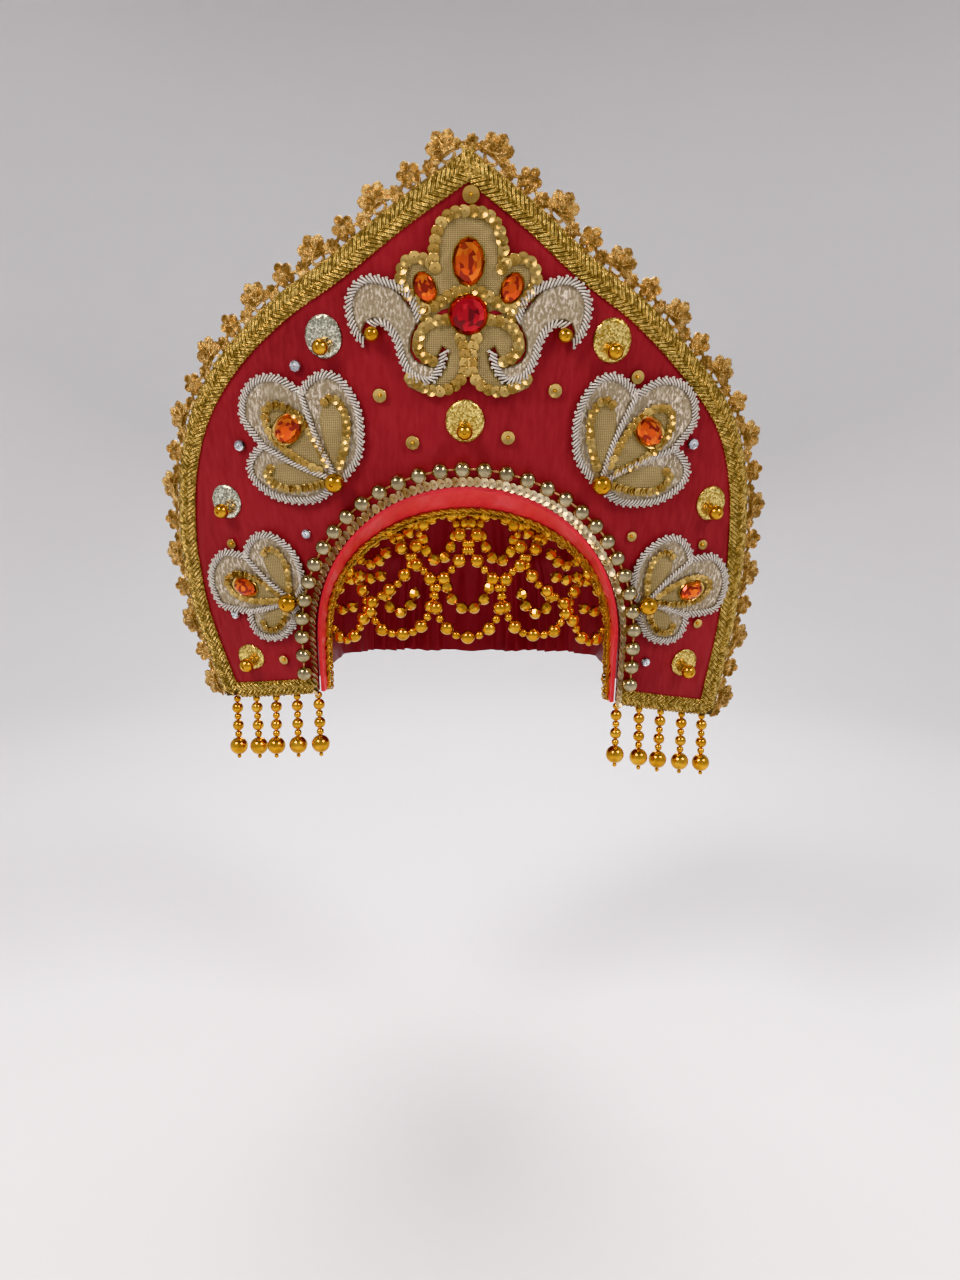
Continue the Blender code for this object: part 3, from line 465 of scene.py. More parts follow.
# Colour, roughness, metallic and layers: a tint has a colour and its share at most, relief has a depth
FINISHES = {
    "red_satin": satin((0.27, 0.031, 0.034), (0.17, 0.020, 0.023), (0.38, 0.052, 0.056)),
    # The forehead band's satin is a much lighter copy of the red satin: painted light, standing for the
    # bright light on the band.
    "band_satin_painted_light": satin((0.88, 0.092, 0.102), (0.74, 0.066, 0.076), (0.96, 0.135, 0.148)),
    "gold_braid": ((0.52, 0.335, 0.095), 0.26, 1.0, (
        ("tint", ("noise", 700), (0.94, 0.72, 0.30), 0.85),
        ("tint", ("ramp", ("noise", 420), 0.45, 0.62), (0.20, 0.11, 0.030), 0.75),
        ("bump", ("waves", 1500, "DIAGONAL", 3), 0.00012))),
    # A dark ribbon under the braid's threads: painted shade for the gaps between them.
    "braid_ground": ((0.055, 0.028, 0.010), 0.75, 0.1, (
        ("tint", ("noise", 900), (0.13, 0.075, 0.025), 0.7),
        ("bump", ("noise", 1800), 0.0002))),
    "gold_lace": ((0.66, 0.37, 0.11), 0.30, 0.95, (
        ("tint", ("noise", 500, 3), (0.98, 0.74, 0.38), 0.9),
        ("tint", ("ramp", ("noise", 260, 3), 0.42, 0.62), (0.28, 0.135, 0.04), 0.7),
        ("rough", ("noise", 1500), 0.12, 0.42),
        ("bump", ("waves", 1300, "DIAGONAL", 6), 0.00022),
        ("bump", ("noise", 2200), 0.0002))),
    "gold_sequin": ((0.42, 0.265, 0.090), 0.20, 1.0, (
        ("tint", ("island",), (0.64, 0.455, 0.185), 0.9),
        ("rough", ("noise", 400), 0.16, 0.34),
        ("bump", ("noise", 500), 0.00006))),
    # The arch's cups get a paler copy of the sequin gold: painted light, standing for the light they catch.
    "arch_sequin_painted_light": ((0.78, 0.62, 0.38), 0.30, 0.85, (
        ("tint", ("island",), (0.95, 0.84, 0.62), 0.9),
        ("rough", ("noise", 400), 0.22, 0.40),
        ("bump", ("noise", 500), 0.00006))),
    "gold_bead": ((0.70, 0.34, 0.040), 0.12, 1.0, (
        ("tint", ("noise", 120), (0.92, 0.58, 0.12), 0.8),
        ("tint", ("noise", 260), (0.30, 0.11, 0.015), 0.5),
        ("rough", ("noise", 900, 3), 0.07, 0.2),
        ("bump", ("noise", 500), 0.00005))),
    "champagne_bead": ((0.46, 0.38, 0.23), 0.12, 1.0, (
        ("tint", ("noise", 150), (0.66, 0.58, 0.40), 0.8),
        ("tint", ("noise", 240), (0.16, 0.12, 0.07), 0.5),
        ("rough", ("noise", 900, 3), 0.06, 0.2),
        ("bump", ("noise", 500), 0.00004))),
    "gold_cloth": ((0.35, 0.250, 0.110), 0.5, 0.3, (
        ("tint", STITCHES, (0.68, 0.53, 0.29), 1.0),
        ("tint", ("noise", 80), (0.26, 0.180, 0.075), 0.4),
        ("bump", STITCHES, 0.0003))),
    "silver_lame": ((0.33, 0.255, 0.165), 0.40, 0.4, (
        ("tint", ("ramp", SCRATCHES, 0.38, 0.70), (0.80, 0.71, 0.61), 1.0),
        ("tint", ("noise", 110, 3), (0.38, 0.300, 0.190), 0.7),
        ("rough", ("noise", 900), 0.22, 0.55),
        ("bump", SCRATCHES, 0.0005))),
    "silver_cord": ((0.66, 0.59, 0.51), 0.36, 0.3, (
        ("tint", ("noise", 900), (0.93, 0.87, 0.82), 0.9),
        ("bump", ("waves", 1600, "DIAGONAL", 4), 0.00012))),
    # Dark cores under the cords' threads: painted shade for the gaps between them.
    "cord_core": ((0.085, 0.062, 0.048), 0.8, 0.0, (
        ("tint", ("noise", 900), (0.16, 0.12, 0.095), 0.7),
        ("bump", ("noise", 1500), 0.0001))),
    "glitter_silver": glitter((0.34, 0.33, 0.25), (0.88, 0.88, 0.76)),
    "glitter_gold": glitter((0.46, 0.30, 0.07), (0.95, 0.78, 0.34)),
    # The stones' darker and lighter colours are painted shade and painted highlights on their facets.
    "amber_stone": gem((0.92, 0.13, 0.008), (0.26, 0.008, 0.003), (1.0, 0.27, 0.025)),
    "ruby_stone": gem((0.62, 0.010, 0.018), (0.13, 0.002, 0.004), (1.0, 0.06, 0.07)),
    "crystal_stone": gem((0.86, 0.88, 0.92), (0.30, 0.31, 0.35), (1.0, 1.0, 1.0)),
    "stone_foil": ((0.86, 0.84, 0.80), 0.12, 1.0, (
        ("rough", ("noise", 700), 0.06, 0.3),
        ("bump", ("noise", 500), 0.0001))),
    "tinsel": ((0.74, 0.40, 0.06), 0.28, 1.0, (
        ("tint", ("noise", 600), (0.95, 0.68, 0.20), 0.9),
        ("tint", ("noise", 150), (0.38, 0.15, 0.03), 0.7),
        ("bump", ("noise", 1500), 0.0003))),
    "copper_thread": ((0.72, 0.40, 0.18), 0.35, 0.8, (
        ("tint", ("noise", 800), (0.85, 0.60, 0.34), 0.8),
        ("bump", ("waves", 2500, "DIAGONAL"), 0.0001))),
    "floor": ((0.80, 0.79, 0.80), 0.9, 0.0, (
        ("tint", ("noise", 1.5), (0.76, 0.75, 0.76), 0.6),), {"Specular IOR Level": 0.2}),
}

# The slot of a finish, where it isn't called as the finish is
SLOTS = {
    "band_satin_painted_light": "red_satin", "braid_ground": "gold_braid", "tinsel": "gold_braid",
    "arch_sequin_painted_light": "gold_sequin", "silver_cord": "silver_lame", "cord_core": "silver_lame",
    "glitter_silver": "silver_glitter", "glitter_gold": "gold_sequin", "ruby_stone": "red_stone",
    "crystal_stone": "", "stone_foil": "",
}


class Finish:
    """A procedural material: a Principled shader under layers of tint, roughness and relief."""

    def __init__(self, name, colour, roughness, metallic, layers, sockets=None):
        self.material = bpy.data.materials.new(name)
        self.material.use_nodes = True
        self.tree = self.material.node_tree
        self.shader = self.tree.nodes["Principled BSDF"]
        self.set(self.shader, {"Base Color": (*colour, 1.0), "Roughness": roughness,
                               "Metallic": metallic, **(sockets or {})})
        self.place = self.tree.nodes.new("ShaderNodeTexCoord").outputs["Object"]
        self.colour = (*colour, 1.0)
        self.normal = None
        self.patterns = {}
        for kind, *settings in layers:
            getattr(self, kind)(*settings)

    def set(self, node, inputs):
        for name, value in inputs.items():
            if isinstance(value, bpy.types.NodeSocket):
                self.tree.links.new(value, node.inputs[name])
            else:
                node.inputs[name].default_value = value

    def node(self, kind, inputs, output=0, **settings):
        made = self.tree.nodes.new("ShaderNode" + kind)
        for name, value in settings.items():
            setattr(made, name, value)
        self.set(made, inputs)
        return made.outputs[output]

    def pattern(self, row):
        """The output of a pattern, such as ("noise", 700), whose nodes are made once."""
        if row not in self.patterns:
            self.patterns[row] = getattr(self, row[0])(*row[1:])
        return self.patterns[row]

    def noise(self, scale, detail=2.0, stretch=None, turn=0.0):
        place = self.place
        if stretch:
            place = self.node("Mapping", {"Vector": place, "Scale": stretch, "Rotation": (0, turn, 0)})
        return self.node("TexNoise", {"Vector": place, "Scale": scale, "Detail": detail})

    def cells(self, scale):
        return self.node("TexVoronoi", {"Vector": self.place, "Scale": scale}, "Color")

    def waves(self, scale, direction="X", distortion=0.0):
        return self.node("TexWave", {"Vector": self.place, "Scale": scale, "Distortion": distortion},
                         "Fac", bands_direction=direction)

    def island(self):
        """A number of its own for each bead or cup."""
        return self.node("NewGeometry", {}, "Random Per Island")

    def facets(self):
        """A number of its own for each facet of a stone, which picks the facet's painted shade or painted
        highlight.
        """
        normal = self.node("NewGeometry", {}, "Normal")
        facing = self.node("VectorMath", {0: normal, 1: (0.04, 0.04, 0.04)}, "Vector", operation="SNAP")
        return self.node("TexWhiteNoise", {"Vector": facing}, "Value", noise_dimensions="3D")

    def product(self, first, second):
        return self.node("Math", {0: self.pattern(first), 1: self.pattern(second)}, operation="MULTIPLY")

    def ramp(self, row, low, high, first=0.0, last=1.0):
        """A pattern taken from low..high to first..last."""
        return self.node("MapRange", {"Value": self.pattern(row), "From Min": low, "From Max": high,
                                      "To Min": first, "To Max": last})

    def tint(self, row, second, share):
        """Mixes a second colour into the base colour where the pattern is high."""
        mixed = self.tree.nodes.new("ShaderNodeMix")
        mixed.data_type = "RGBA"
        current = self.shader.inputs["Base Color"]
        below = current.links[0].from_socket if current.is_linked else self.colour
        self.set(mixed, {0: self.ramp(row, *PATTERN_RANGE, 0.0, share), 6: below, 7: (*second, 1.0)})
        self.tree.links.new(mixed.outputs[2], current)

    def rough(self, row, low, high):
        self.set(self.shader, {"Roughness": self.ramp(row, *PATTERN_RANGE, low, high)})

    def bump(self, row, depth):
        """Adds relief of a real depth in metres."""
        inputs = {"Height": self.pattern(row), "Distance": depth, "Strength": 1.0}
        if self.normal is not None:
            inputs["Normal"] = self.normal
        self.normal = self.node("Bump", inputs)
        self.set(self.shader, {"Normal": self.normal})


MATERIALS = {name: Finish(name, *row).material for name, row in FINISHES.items()}
MERGE = 1e-7


def make(name, shape, finish, node=None, sharp=40, slot=None):
    """Turns a shape into a piece that rides on the hat; its slot is worked out but not given to it."""
    mesh = bpy.data.meshes.new(name)
    faces = [face for block in shape.faces for face in block.tolist()]
    mesh.from_pydata(np.concatenate(shape.points).tolist(), [], faces)
    solid = bmesh.new()
    solid.from_mesh(mesh)
    bmesh.ops.remove_doubles(solid, verts=solid.verts, dist=MERGE)
    bmesh.ops.dissolve_degenerate(solid, edges=solid.edges, dist=MERGE)
    bmesh.ops.recalc_face_normals(solid, faces=solid.faces)
    solid.to_mesh(mesh)
    solid.free()
    mesh.materials.append(MATERIALS[finish])
    mesh.shade_smooth()
    mesh.set_sharp_from_angle(angle=math.radians(sharp))
    piece = bpy.data.objects.new(name, mesh)
    bpy.context.scene.collection.objects.link(piece)
    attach(piece, "root")
    if node:
        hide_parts(node)
    slot = SLOTS.get(finish, finish) if slot is None else slot
    return piece


def sew(name, shape, *looks):
    """Makes a piece whose points are places on the board."""
    make(name, shape.mapped(board), *looks)


# Outlines

def crown_side(side):
    """The crown's outline from the apex down to one lobe's outer corner."""
    sign, reach, hem, _ = SIDES[side]
    return curve([(sign * (left if side == "left" else right) * reach, h * (CROWN_RISE if h > 0 else hem))
                  for h, left, right in CROWN_OUTLINE], 12)


def foot(side):
    sign, _, hem, share = SIDES[side]
    return np.array([sign * ARCH_HALF, -hem * share])


def arch_side(side, top_gap=0.0, side_gap=0.0, end=None, steps=60):
    """The face arch, widened by the gaps, from its top down to one foot."""
    turn = np.linspace(np.pi / 2, 0, steps + 1)
    half = SIDES[side][0] * (ARCH_HALF + side_gap)
    line = np.stack([half * np.cos(turn), (ARCH_RISE + top_gap) * np.sin(turn) - ARCH_RISE], 1)
    return np.concatenate([line, [[half, foot(side)[1] if end is None else end]]])


def arch_line(top_gap, side_gap, end_rise=None):
    """The widened arch from foot to foot, or from a rise above each."""
    ends = [None if end_rise is None else foot(side)[1] + end_rise for side in SIDES]
    return over_top(*(arch_side(side, top_gap, side_gap, end) for side, end in zip(SIDES, ends)))


def waves_of(x, y, rows):
    """A smooth ripple: rows of size, waves per metre along x and y, and phase."""
    return sum(size * np.sin(2 * np.pi * (kx * x + ky * y) + phase) for size, kx, ky, phase in rows)


# Board, braid and lace

SATIN_EDGE = 0.0013
SATIN_COLUMNS = 90            # on each side of the middle
SATIN_ROWS = 76
RIDGE_INSET = 0.0148          # a soft ridge of the satin, this far inside the outline
RIDGE_WIDTH = 0.0024
RIDGE_HEIGHT = 0.00045
SATIN_RIPPLES = ((0.00010, 22, 9, 0.4), (0.00008, -31, 17, 1.9), (0.00006, 58, -26, 0.7),
                 (0.00005, 13, 47, 2.6))


def satin_panel():
    """The stiff board under its satin, with rolled edges and slight ripples."""
    shares = np.linspace(0, 1, SATIN_COLUMNS)
    inner, outer = (over_top(*(along(edge(side), shares * total_length(edge(side)))[0] for side in SIDES))
                    for edge in (arch_side, crown_side))
    columns = len(inner)
    ahead = unit(outer - inner)[:, None]
    width = np.linalg.norm(outer - inner, axis=1)[:, None]
    share = np.linspace(0, 1, SATIN_ROWS)
    share = share + 0.25 * share * (1 - share)
    flat = SATIN_EDGE + (width - 2 * SATIN_EDGE) * share
    places = inner[:, None] + ahead * flat[..., None]
    ripple = waves_of(places[..., 0], places[..., 1], SATIN_RIPPLES)
    ripple = ripple * np.clip(np.minimum(share, 1 - share) * 12, 0, 1)
    uneven = 0.6 + 0.4 * np.sin(np.linspace(0, 23, columns))[:, None]
    inset = width * (1 - share)
    ripple = ripple + RIDGE_HEIGHT * uneven * np.exp(-((inset - RIDGE_INSET) / RIDGE_WIDTH) ** 2)
    bends = np.linspace(0, np.pi, 7)[1:-1]
    roll = np.tile(SATIN_EDGE * np.sin(bends), (columns, 1))
    sink = np.tile(-PANEL_THICKNESS / 2 + PANEL_THICKNESS / 2 * np.cos(bends), (columns, 1))
    out = np.concatenate([flat, width - SATIN_EDGE + roll, flat[:, ::-1], SATIN_EDGE - roll], 1)
    lift = np.concatenate([ripple, sink, np.full(flat.shape, -PANEL_THICKNESS), sink[:, ::-1]], 1)
    shape = Shape()
    shape.grid(np.concatenate([inner[:, None] + ahead * out[..., None], lift[..., None]], -1),
               round_columns=True)
    around = out.shape[1]
    for start in (0, (columns - 1) * around):
        front, outer_roll, back, inner_roll = np.split(
            start + np.arange(around), np.cumsum([SATIN_ROWS, len(bends), SATIN_ROWS]))
        back = back[::-1]
        shape.faces.append(np.stack([front[:-1], front[1:], back[1:], back[:-1]], 1))
        shape.faces.append(np.array([[front[-1], *outer_roll, back[-1]]]))
        shape.faces.append(np.array([[back[0], *inner_roll, front[0]]]))
    sew("satin_panel", shape, "red_satin", "crown_panel", 50)


BRAID_PITCH = 0.00255          # from one pair of threads to the next
BRAID_THREAD = 0.00050
BRAID_STROKE = ((-0.08, 0.55), (0.12, 1.00), (0.35, 1.35), (0.60, 1.30), (0.82, 1.05), (0.97, 0.70),
                (1.05, 0.30))
SHADE_RIBBON_OUTLINE = ((-0.94, 0.2), (-0.90, 0.75), (0.0, 1.0), (0.90, 0.75), (0.94, 0.2))


def braid(name, line, width, node):
    """Herringbone braid along a flat line: a dark ribbon, painted shade for the gaps, under two rows of
    slanting threads.
    """
    half = width / 2
    share, height = np.array(BRAID_STROKE).T
    stroke = tube(np.stack([-share * half * 0.95, share * half, height * MM], 1), BRAID_THREAD, 6,
                  flat=0.85)
    turn = np.linspace(0.25 * np.pi, 1.75 * np.pi, 7)
    loop = tube(np.stack([0.00085 * np.sin(turn), half * 0.99 - 0.00075 * np.cos(turn),
                          0.0007 + 0 * turn], 1), 0.00034, 5)
    pairs = np.arange(0.5 * BRAID_PITCH, total_length(line), BRAID_PITCH)
    stations = np.sort(np.concatenate([pairs - 0.92 * BRAID_THREAD, pairs + 0.92 * BRAID_THREAD]))
    threads = Shape()
    for sign, shift in ((1, 0), (-1, BRAID_PITCH / 2)):
        places, ahead = along(line, stations + shift)
        axes = flat_axes(ahead, left_of(ahead) * sign)
        origins = lifted(places, np.arange(len(places)) % 2 * 0.15 * MM)
        threads.stamp(stroke, origins, axes)
        threads.stamp(loop, origins[::2], axes[::2])
    sew(name, threads, "gold_braid", node, 60)
    # The ribbon below is painted shade for the gaps between the threads.
    places, ahead = spaced(line, 0.003)
    rows = [lifted(places + left_of(ahead) * half * across, lift * MM) for across, lift in SHADE_RIBBON_OUTLINE]
    shade_ribbon = Shape()
    shade_ribbon.grid(np.stack(rows, 1), round_columns=True)
    sew(name + "_ground", shade_ribbon, "braid_ground", None, 60)


def braids():
    up = np.array([0, HEM_BRAID_WIDTH / 2])
    for side, (sign, *_) in SIDES.items():
        edge, inner = crown_side(side), foot(side)
        braid("edge_braid_" + side, sideways(edge, -sign * BRAID_WIDTH / 2), BRAID_WIDTH, "edge_braid")
        corner = edge[-1] + unit(inner - edge[-1]) * BRAID_WIDTH * 0.9
        hem = spaced(np.array([corner + up, inner + up]), 0.004)[0]
        braid("hem_braid_" + side, hem, HEM_BRAID_WIDTH, "hem_braid_" + side)


def fan_leaf():
    """A lace leaf in a unit circle: five lobes of three scallops, ribbed, root at the origin, tip at +Y."""
    angles = np.linspace(-118, 118, 91)
    rings = np.array([0.06, 0.22, 0.42, 0.62, 0.80, 0.93, 1.0])
    turn = np.radians(angles)
    lobes = 0.80 + 0.20 * np.abs(np.cos(np.radians(angles * 180 / 47.2)))
    scallops = 0.96 + 0.045 * np.abs(np.cos(np.radians(angles * 540 / 47.2)))
    reach = lobes * scallops * (1 - 0.22 * (np.abs(angles) / 118) ** 2)
    ribs = 0.62 + 0.38 * np.abs(np.cos(np.radians(angles * 540 / 47.2)))
    radius = rings[:, None] * reach
    height = np.sqrt(np.clip(1 - rings ** 2, 0, 1))[:, None] ** 0.6 * ribs * (0.55 + 0.45 * rings[:, None])
    height[-1] = 0
    flat = np.stack([radius * np.sin(turn), radius * np.cos(turn)], -1)
    top = np.concatenate([flat, height[..., None]], -1)
    bottom = np.concatenate([flat, -0.7 * height[..., None]], -1)[::-1]
    both = np.concatenate([top, bottom])
    return both.reshape(-1, 3), grid_faces(len(both), len(angles), True, False)


DOT_PROFILE = ((0.0, 0.62), (0.30, 0.52), (0.50, 0.40), (0.66, 0.80), (0.84, 0.95), (1.0, 0.45),
               (1.0, -0.35), (0.84, -0.70), (0.60, -0.50), (0.0, -0.50))

# The lace, in millimetres; a spot is (along, out, lift) from a place on the outline
EYELET_RING = (3.3, 2.2)
EYELET_OFFSET = 3.4
EYELET_CORD = 0.85
LEAF_ROOT = 5.6
LEAF_SIZES = (9.9, 9.9, 1.3)
LEAF_VEIN = ((0, 4.8, 0.5), (0, 8, 1.5), (0, 12, 1.0))
LEAF_RIB = ((0, 1.1), (3.2, 1.45), (5.8, 0.8))
LEAF_RIB_TURNS = (-100, -50, 50, 100)
SMALL_LEAF = ((0, 4.0, 0), (3.6, 3.9, 1.0))
KNOT = ((0, 2.2, 0), (3.6, 2.6, 0.85))
ARM = ((5.2, 4.8, 0.3), (3.2, 6.0, 0.3), (0, 6.8, 0))
DOTS_MIDDLE = np.array([0, 7.0])
DOTS_KNOT_SIZES = (1.9, 1.9, 1.3)
DOTS_REACH = 3.7
DOT_SIZES = (2.35, 2.35, 1.2)
LACE_BORDERS = ((0.5, 0.8, 0.0), (4.6, 0.6, 0.4))       # how far out, radius and wave


def lace():
    """Guipure lace round the outline: an eyelet band that carries leaves and groups of five dots."""
    edge = over_top(*(crown_side(side) for side in SIDES))
    total = total_length(edge)
    pitch = total / LACE_MOTIFS
    shape = Shape()

    def frame_at(distance):
        before, middle, after = along(edge, [distance - 1.5 * MM, distance, distance + 1.5 * MM])[0]
        ahead = unit(after - before)
        return middle, ahead, left_of(ahead)

    def local(distance, spots):
        """Places from millimetres (along, out, lift) round a distance on the edge."""
        middle, ahead, out = frame_at(distance)
        spots = np.atleast_2d(spots) * MM
        return lifted(middle + spots[:, :1] * ahead + spots[:, 1:2] * out, spots[:, 2] - LACE_SINK)

    def strand(distance, spots, radius):
        shape.add(tube(local(distance, spots), radius * MM, 6))

    def put(template, distance, spot, sizes, turn=0.0):
        _, ahead, out = frame_at(distance)
        axes = flat_axes([math.cos(turn) * ahead - math.sin(turn) * out],
                         [math.sin(turn) * ahead + math.cos(turn) * out])
        shape.stamp(template, local(distance, spot), axes, [np.array(sizes) * MM])

    def ray(turn):
        return np.array([math.sin(turn), math.cos(turn)])

    leaf, dot, knot = fan_leaf(), turned(DOT_PROFILE, 14), sphere(7, 10)
    ring_turn = np.linspace(0, 2 * np.pi, 17)
    eyelet = np.stack([EYELET_RING[0] * np.cos(ring_turn),
                       EYELET_OFFSET + EYELET_RING[1] * np.sin(ring_turn), 0 * ring_turn], 1)
    middle = LACE_MOTIFS // 2
    for index in range(LACE_MOTIFS):
        at = (index + 0.5) * pitch
        wobble = math.sin(index * 2.3) * 0.08
        strand(at, eyelet, EYELET_CORD)
        put(knot, at + pitch / 2, *KNOT)
        put(leaf, at + pitch / 2, *SMALL_LEAF, -wobble)
        for side in (-1, 1):
            arm = np.array([(pitch / MM * 0.44, 2.2, 0), *ARM]) * (side, 1, 1)
            strand(at, curve(arm, 4), 0.72)
        from_apex = max(index - middle, middle - 1 - index)
        if from_apex % 2 == 0:
            put(leaf, at, (0, LEAF_ROOT, 0), LEAF_SIZES, wobble)
            strand(at, LEAF_VEIN, 0.5)
            for turn in LEAF_RIB_TURNS:
                strand(at, [(*((0, LEAF_ROOT) + ray(math.radians(turn)) * out), lift)
                            for out, lift in LEAF_RIB], 0.42)
        else:
            put(knot, at, (*DOTS_MIDDLE, 0.2), DOTS_KNOT_SIZES)
            for turn in range(0, 360, 72):
                spot = DOTS_MIDDLE + DOTS_REACH * ray(math.radians(turn) + wobble)
                put(dot, at, (*spot, 0), DOT_SIZES)
    smooth = along(edge, np.linspace(0, total, 200))[0]
    distance = np.linspace(0, total, LACE_MOTIFS * 10)
    line = along(smooth, distance / total * total_length(smooth))[0]
    for out, radius, wave in LACE_BORDERS:
        offset = (out + wave * np.cos(2 * np.pi * distance / pitch)) * MM
        shape.add(tube(lifted(sideways(line, offset[:, None]), -LACE_SINK), radius * MM, 6))
    sew("lace", shape, "gold_lace", "lace_edging", 50)


# Beads, sequins, cords and stones

def ball(segments=20, rings=11, hole=0.2):
    """A round bead in a unit sphere, with a sunk hole at each end of its Z axis."""
    edge = math.asin(hole)
    angles = np.linspace(edge, np.pi - edge, rings)
    profile = [(0, 0.72), (hole * 0.8, 0.74), (hole * 0.86, 0.94)]
    profile += [(math.sin(a), math.cos(a)) for a in angles]
    profile += [(hole * 0.86, -0.94), (hole * 0.8, -0.74), (0, -0.72)]
    return turned(profile, segments)


def cut_ball():
    """A faceted bead in a unit sphere."""
    return turned([(0, 0.75), (0.24, 0.76), (0.30, 0.92), (0.72, 0.66), (0.98, 0.2), (0.98, -0.2),
                   (0.72, -0.66), (0.30, -0.92), (0.24, -0.76), (0, -0.75)], 8)


SEQUIN_PROFILE = ((0.13, -0.10), (0.34, -0.09), (0.60, 0.0), (0.97, 0.10), (1.0, 0.07), (0.97, 0.04),
                  (0.60, -0.07), (0.34, -0.16), (0.13, -0.17))
SEQUIN_LEAN = 12              # degrees
ARCH_SEQUIN_LEAN = 24


def sequin_chain(shape, line, radius, pitch, lift):
    """Overlapping cups along a flat line, each leaning on the one behind it."""
    places, ahead = spaced(line, pitch)
    index = np.arange(len(places))
    lean = np.radians(SEQUIN_LEAN + 3 * np.sin(index * 2.4))[:, None]
    side = np.radians(11 * np.sin(index * 1.7 + 0.5))[:, None]
    axes = tilted_axes(lifted(ahead) * np.cos(lean) + UP * np.sin(lean),
                       unit(lifted(left_of(ahead)) + UP * np.tan(side)))
    origins = lifted(places, lift + 0.0002 * (index % 2))
    shape.stamp(turned(SEQUIN_PROFILE, 14, closed=True), origins, axes, radius)
    shape.stamp(sphere(6, 8), origins - axes[:, 2] * 0.1 * radius, axes, radius * 0.17)


CORD_PITCH = 0.00185           # from one slanting thread to the next
CORD_THREAD = 0.00052
CORD_SLANT = 0.0014            # how far a thread runs ahead on its way across
CORD_STROKE = ((-1.0, 0.25), (-0.72, 0.75), (-0.25, 1.0), (0.25, 1.0), (0.72, 0.75), (1.0, 0.25))
PICOT_EVERY = 2


def cord(threads, shade_cores, line, outline=None, half=0.00160, lift=0.0020):
    """A flat cord of slanting threads; with an outline, it has small loops on its outer side."""
    places, ahead = spaced(line, CORD_PITCH)
    left = left_of(ahead)
    if outline is not None and inside(places + left * 0.0025, outline)[0].mean() > 0.5:
        left = -left
    axes = flat_axes(ahead, left)
    share, height = np.array(CORD_STROKE).T
    stroke = np.stack([share * CORD_SLANT, share * half, height * 0.9 * MM], 1)
    origins = lifted(places, lift + 0.00012 * (np.arange(len(places)) % 2))
    threads.stamp(tube(stroke, CORD_THREAD, 6), origins, axes)
    if outline is not None:
        turn = np.linspace(-0.5 * np.pi, 0.9 * np.pi, 6)
        picot = np.stack([CORD_SLANT + 0.0006 * np.cos(turn), half + 0.0002 + 0.0005 * np.sin(turn),
                          0.0006 + 0 * turn], 1)
        threads.stamp(tube(picot, 0.00038, 5), origins[::PICOT_EVERY], axes[::PICOT_EVERY])
    # The dark core under the threads is painted shade for the gaps between them.
    shade_cores.add(tube(lifted(spaced(line, 0.003)[0], lift - 0.0001), half * 0.86, 8, flat=0.62))


def sew_cords(name, runs):
    """Sews cords as two pieces, their threads and their dark cores, which are painted shade for the gaps; a
    run is what cord() takes.
    """
    threads, shade_cores = Shape(), Shape()
    for run in runs:
        cord(threads, shade_cores, *run)
    sew(name % "cord", threads, "silver_cord", None, 60)
    sew(name % "core", shade_cores, "cord_core", None, 60)


FLOWER_STONE_CUT = 0.84
STONE_SIDES = 12
STONE_RINGS = ((0.0, -0.35), (0.90, -0.05), (1.0, 0.15), (1.0, 0.24), (0.84, 0.66), (0.58, 0.92),
               (0.34, 1.0), (0.0, 1.0))
SHIFTED_RINGS = (1, 4, 6)
CUP_RINGS = ((1.06, 0.0), (1.08, 0.16), (1.03, 0.34), (1.01, 0.20), (0.88, 0.0), (0.0, -0.08))


def cut_stone(name, place, half_sizes, turn, height, seat, finish, node, cut=1.0):
    """A faceted stone in a low gold-coloured cup; cut is the stone's share of the cup."""
    axes = np.array(((math.cos(turn), math.sin(turn)), (-math.sin(turn), math.cos(turn))))
    step = 2 * np.pi / STONE_SIDES

    def ring(size, lift, shift=0.0):
        angles = step * np.arange(STONE_SIDES) + shift
        around = np.stack([np.cos(angles), np.sin(angles)], 1) * half_sizes * size
        return lifted(place + around @ axes, lift)

    stone = Shape()
    stone.grid([ring(size * cut, seat + 0.0006 + level * (height - 0.0006) * 0.92,
                     step / 2 if index in SHIFTED_RINGS else 0.0)
                for index, (size, level) in enumerate(STONE_RINGS)], round_columns=True)
    sew(name, stone, finish, node, 3)
    cup = Shape()
    cup.grid([ring(0.0, seat)] + [ring(size, seat + 0.0005 + level * height * 0.8)
                                  for size, level in CUP_RINGS], round_columns=True)
    sew(name + "_cup", cup, "gold_sequin", None, 30, SLOTS.get(finish, finish))


def inside(points, outline):
    """Whether flat points lie inside a closed outline, and how far each is from it."""
    start, end = outline, np.roll(outline, -1, axis=0)
    x, y = points[:, None, 0], points[:, None, 1]
    crosses = (start[:, 1] > y) != (end[:, 1] > y)
    rise = np.where(np.abs(end[:, 1] - start[:, 1]) < 1e-12, 1e-12, end[:, 1] - start[:, 1])
    hit = crosses & (x < (end[:, 0] - start[:, 0]) * (y - start[:, 1]) / rise + start[:, 0])
    span = end - start
    share = np.clip(((points[:, None] - start) * span).sum(-1)
                    / np.maximum((span ** 2).sum(-1), 1e-15), 0, 1)
    away = np.linalg.norm(points[:, None] - start - share[..., None] * span, axis=-1).min(1)
    return hit.sum(1) % 2 == 1, away


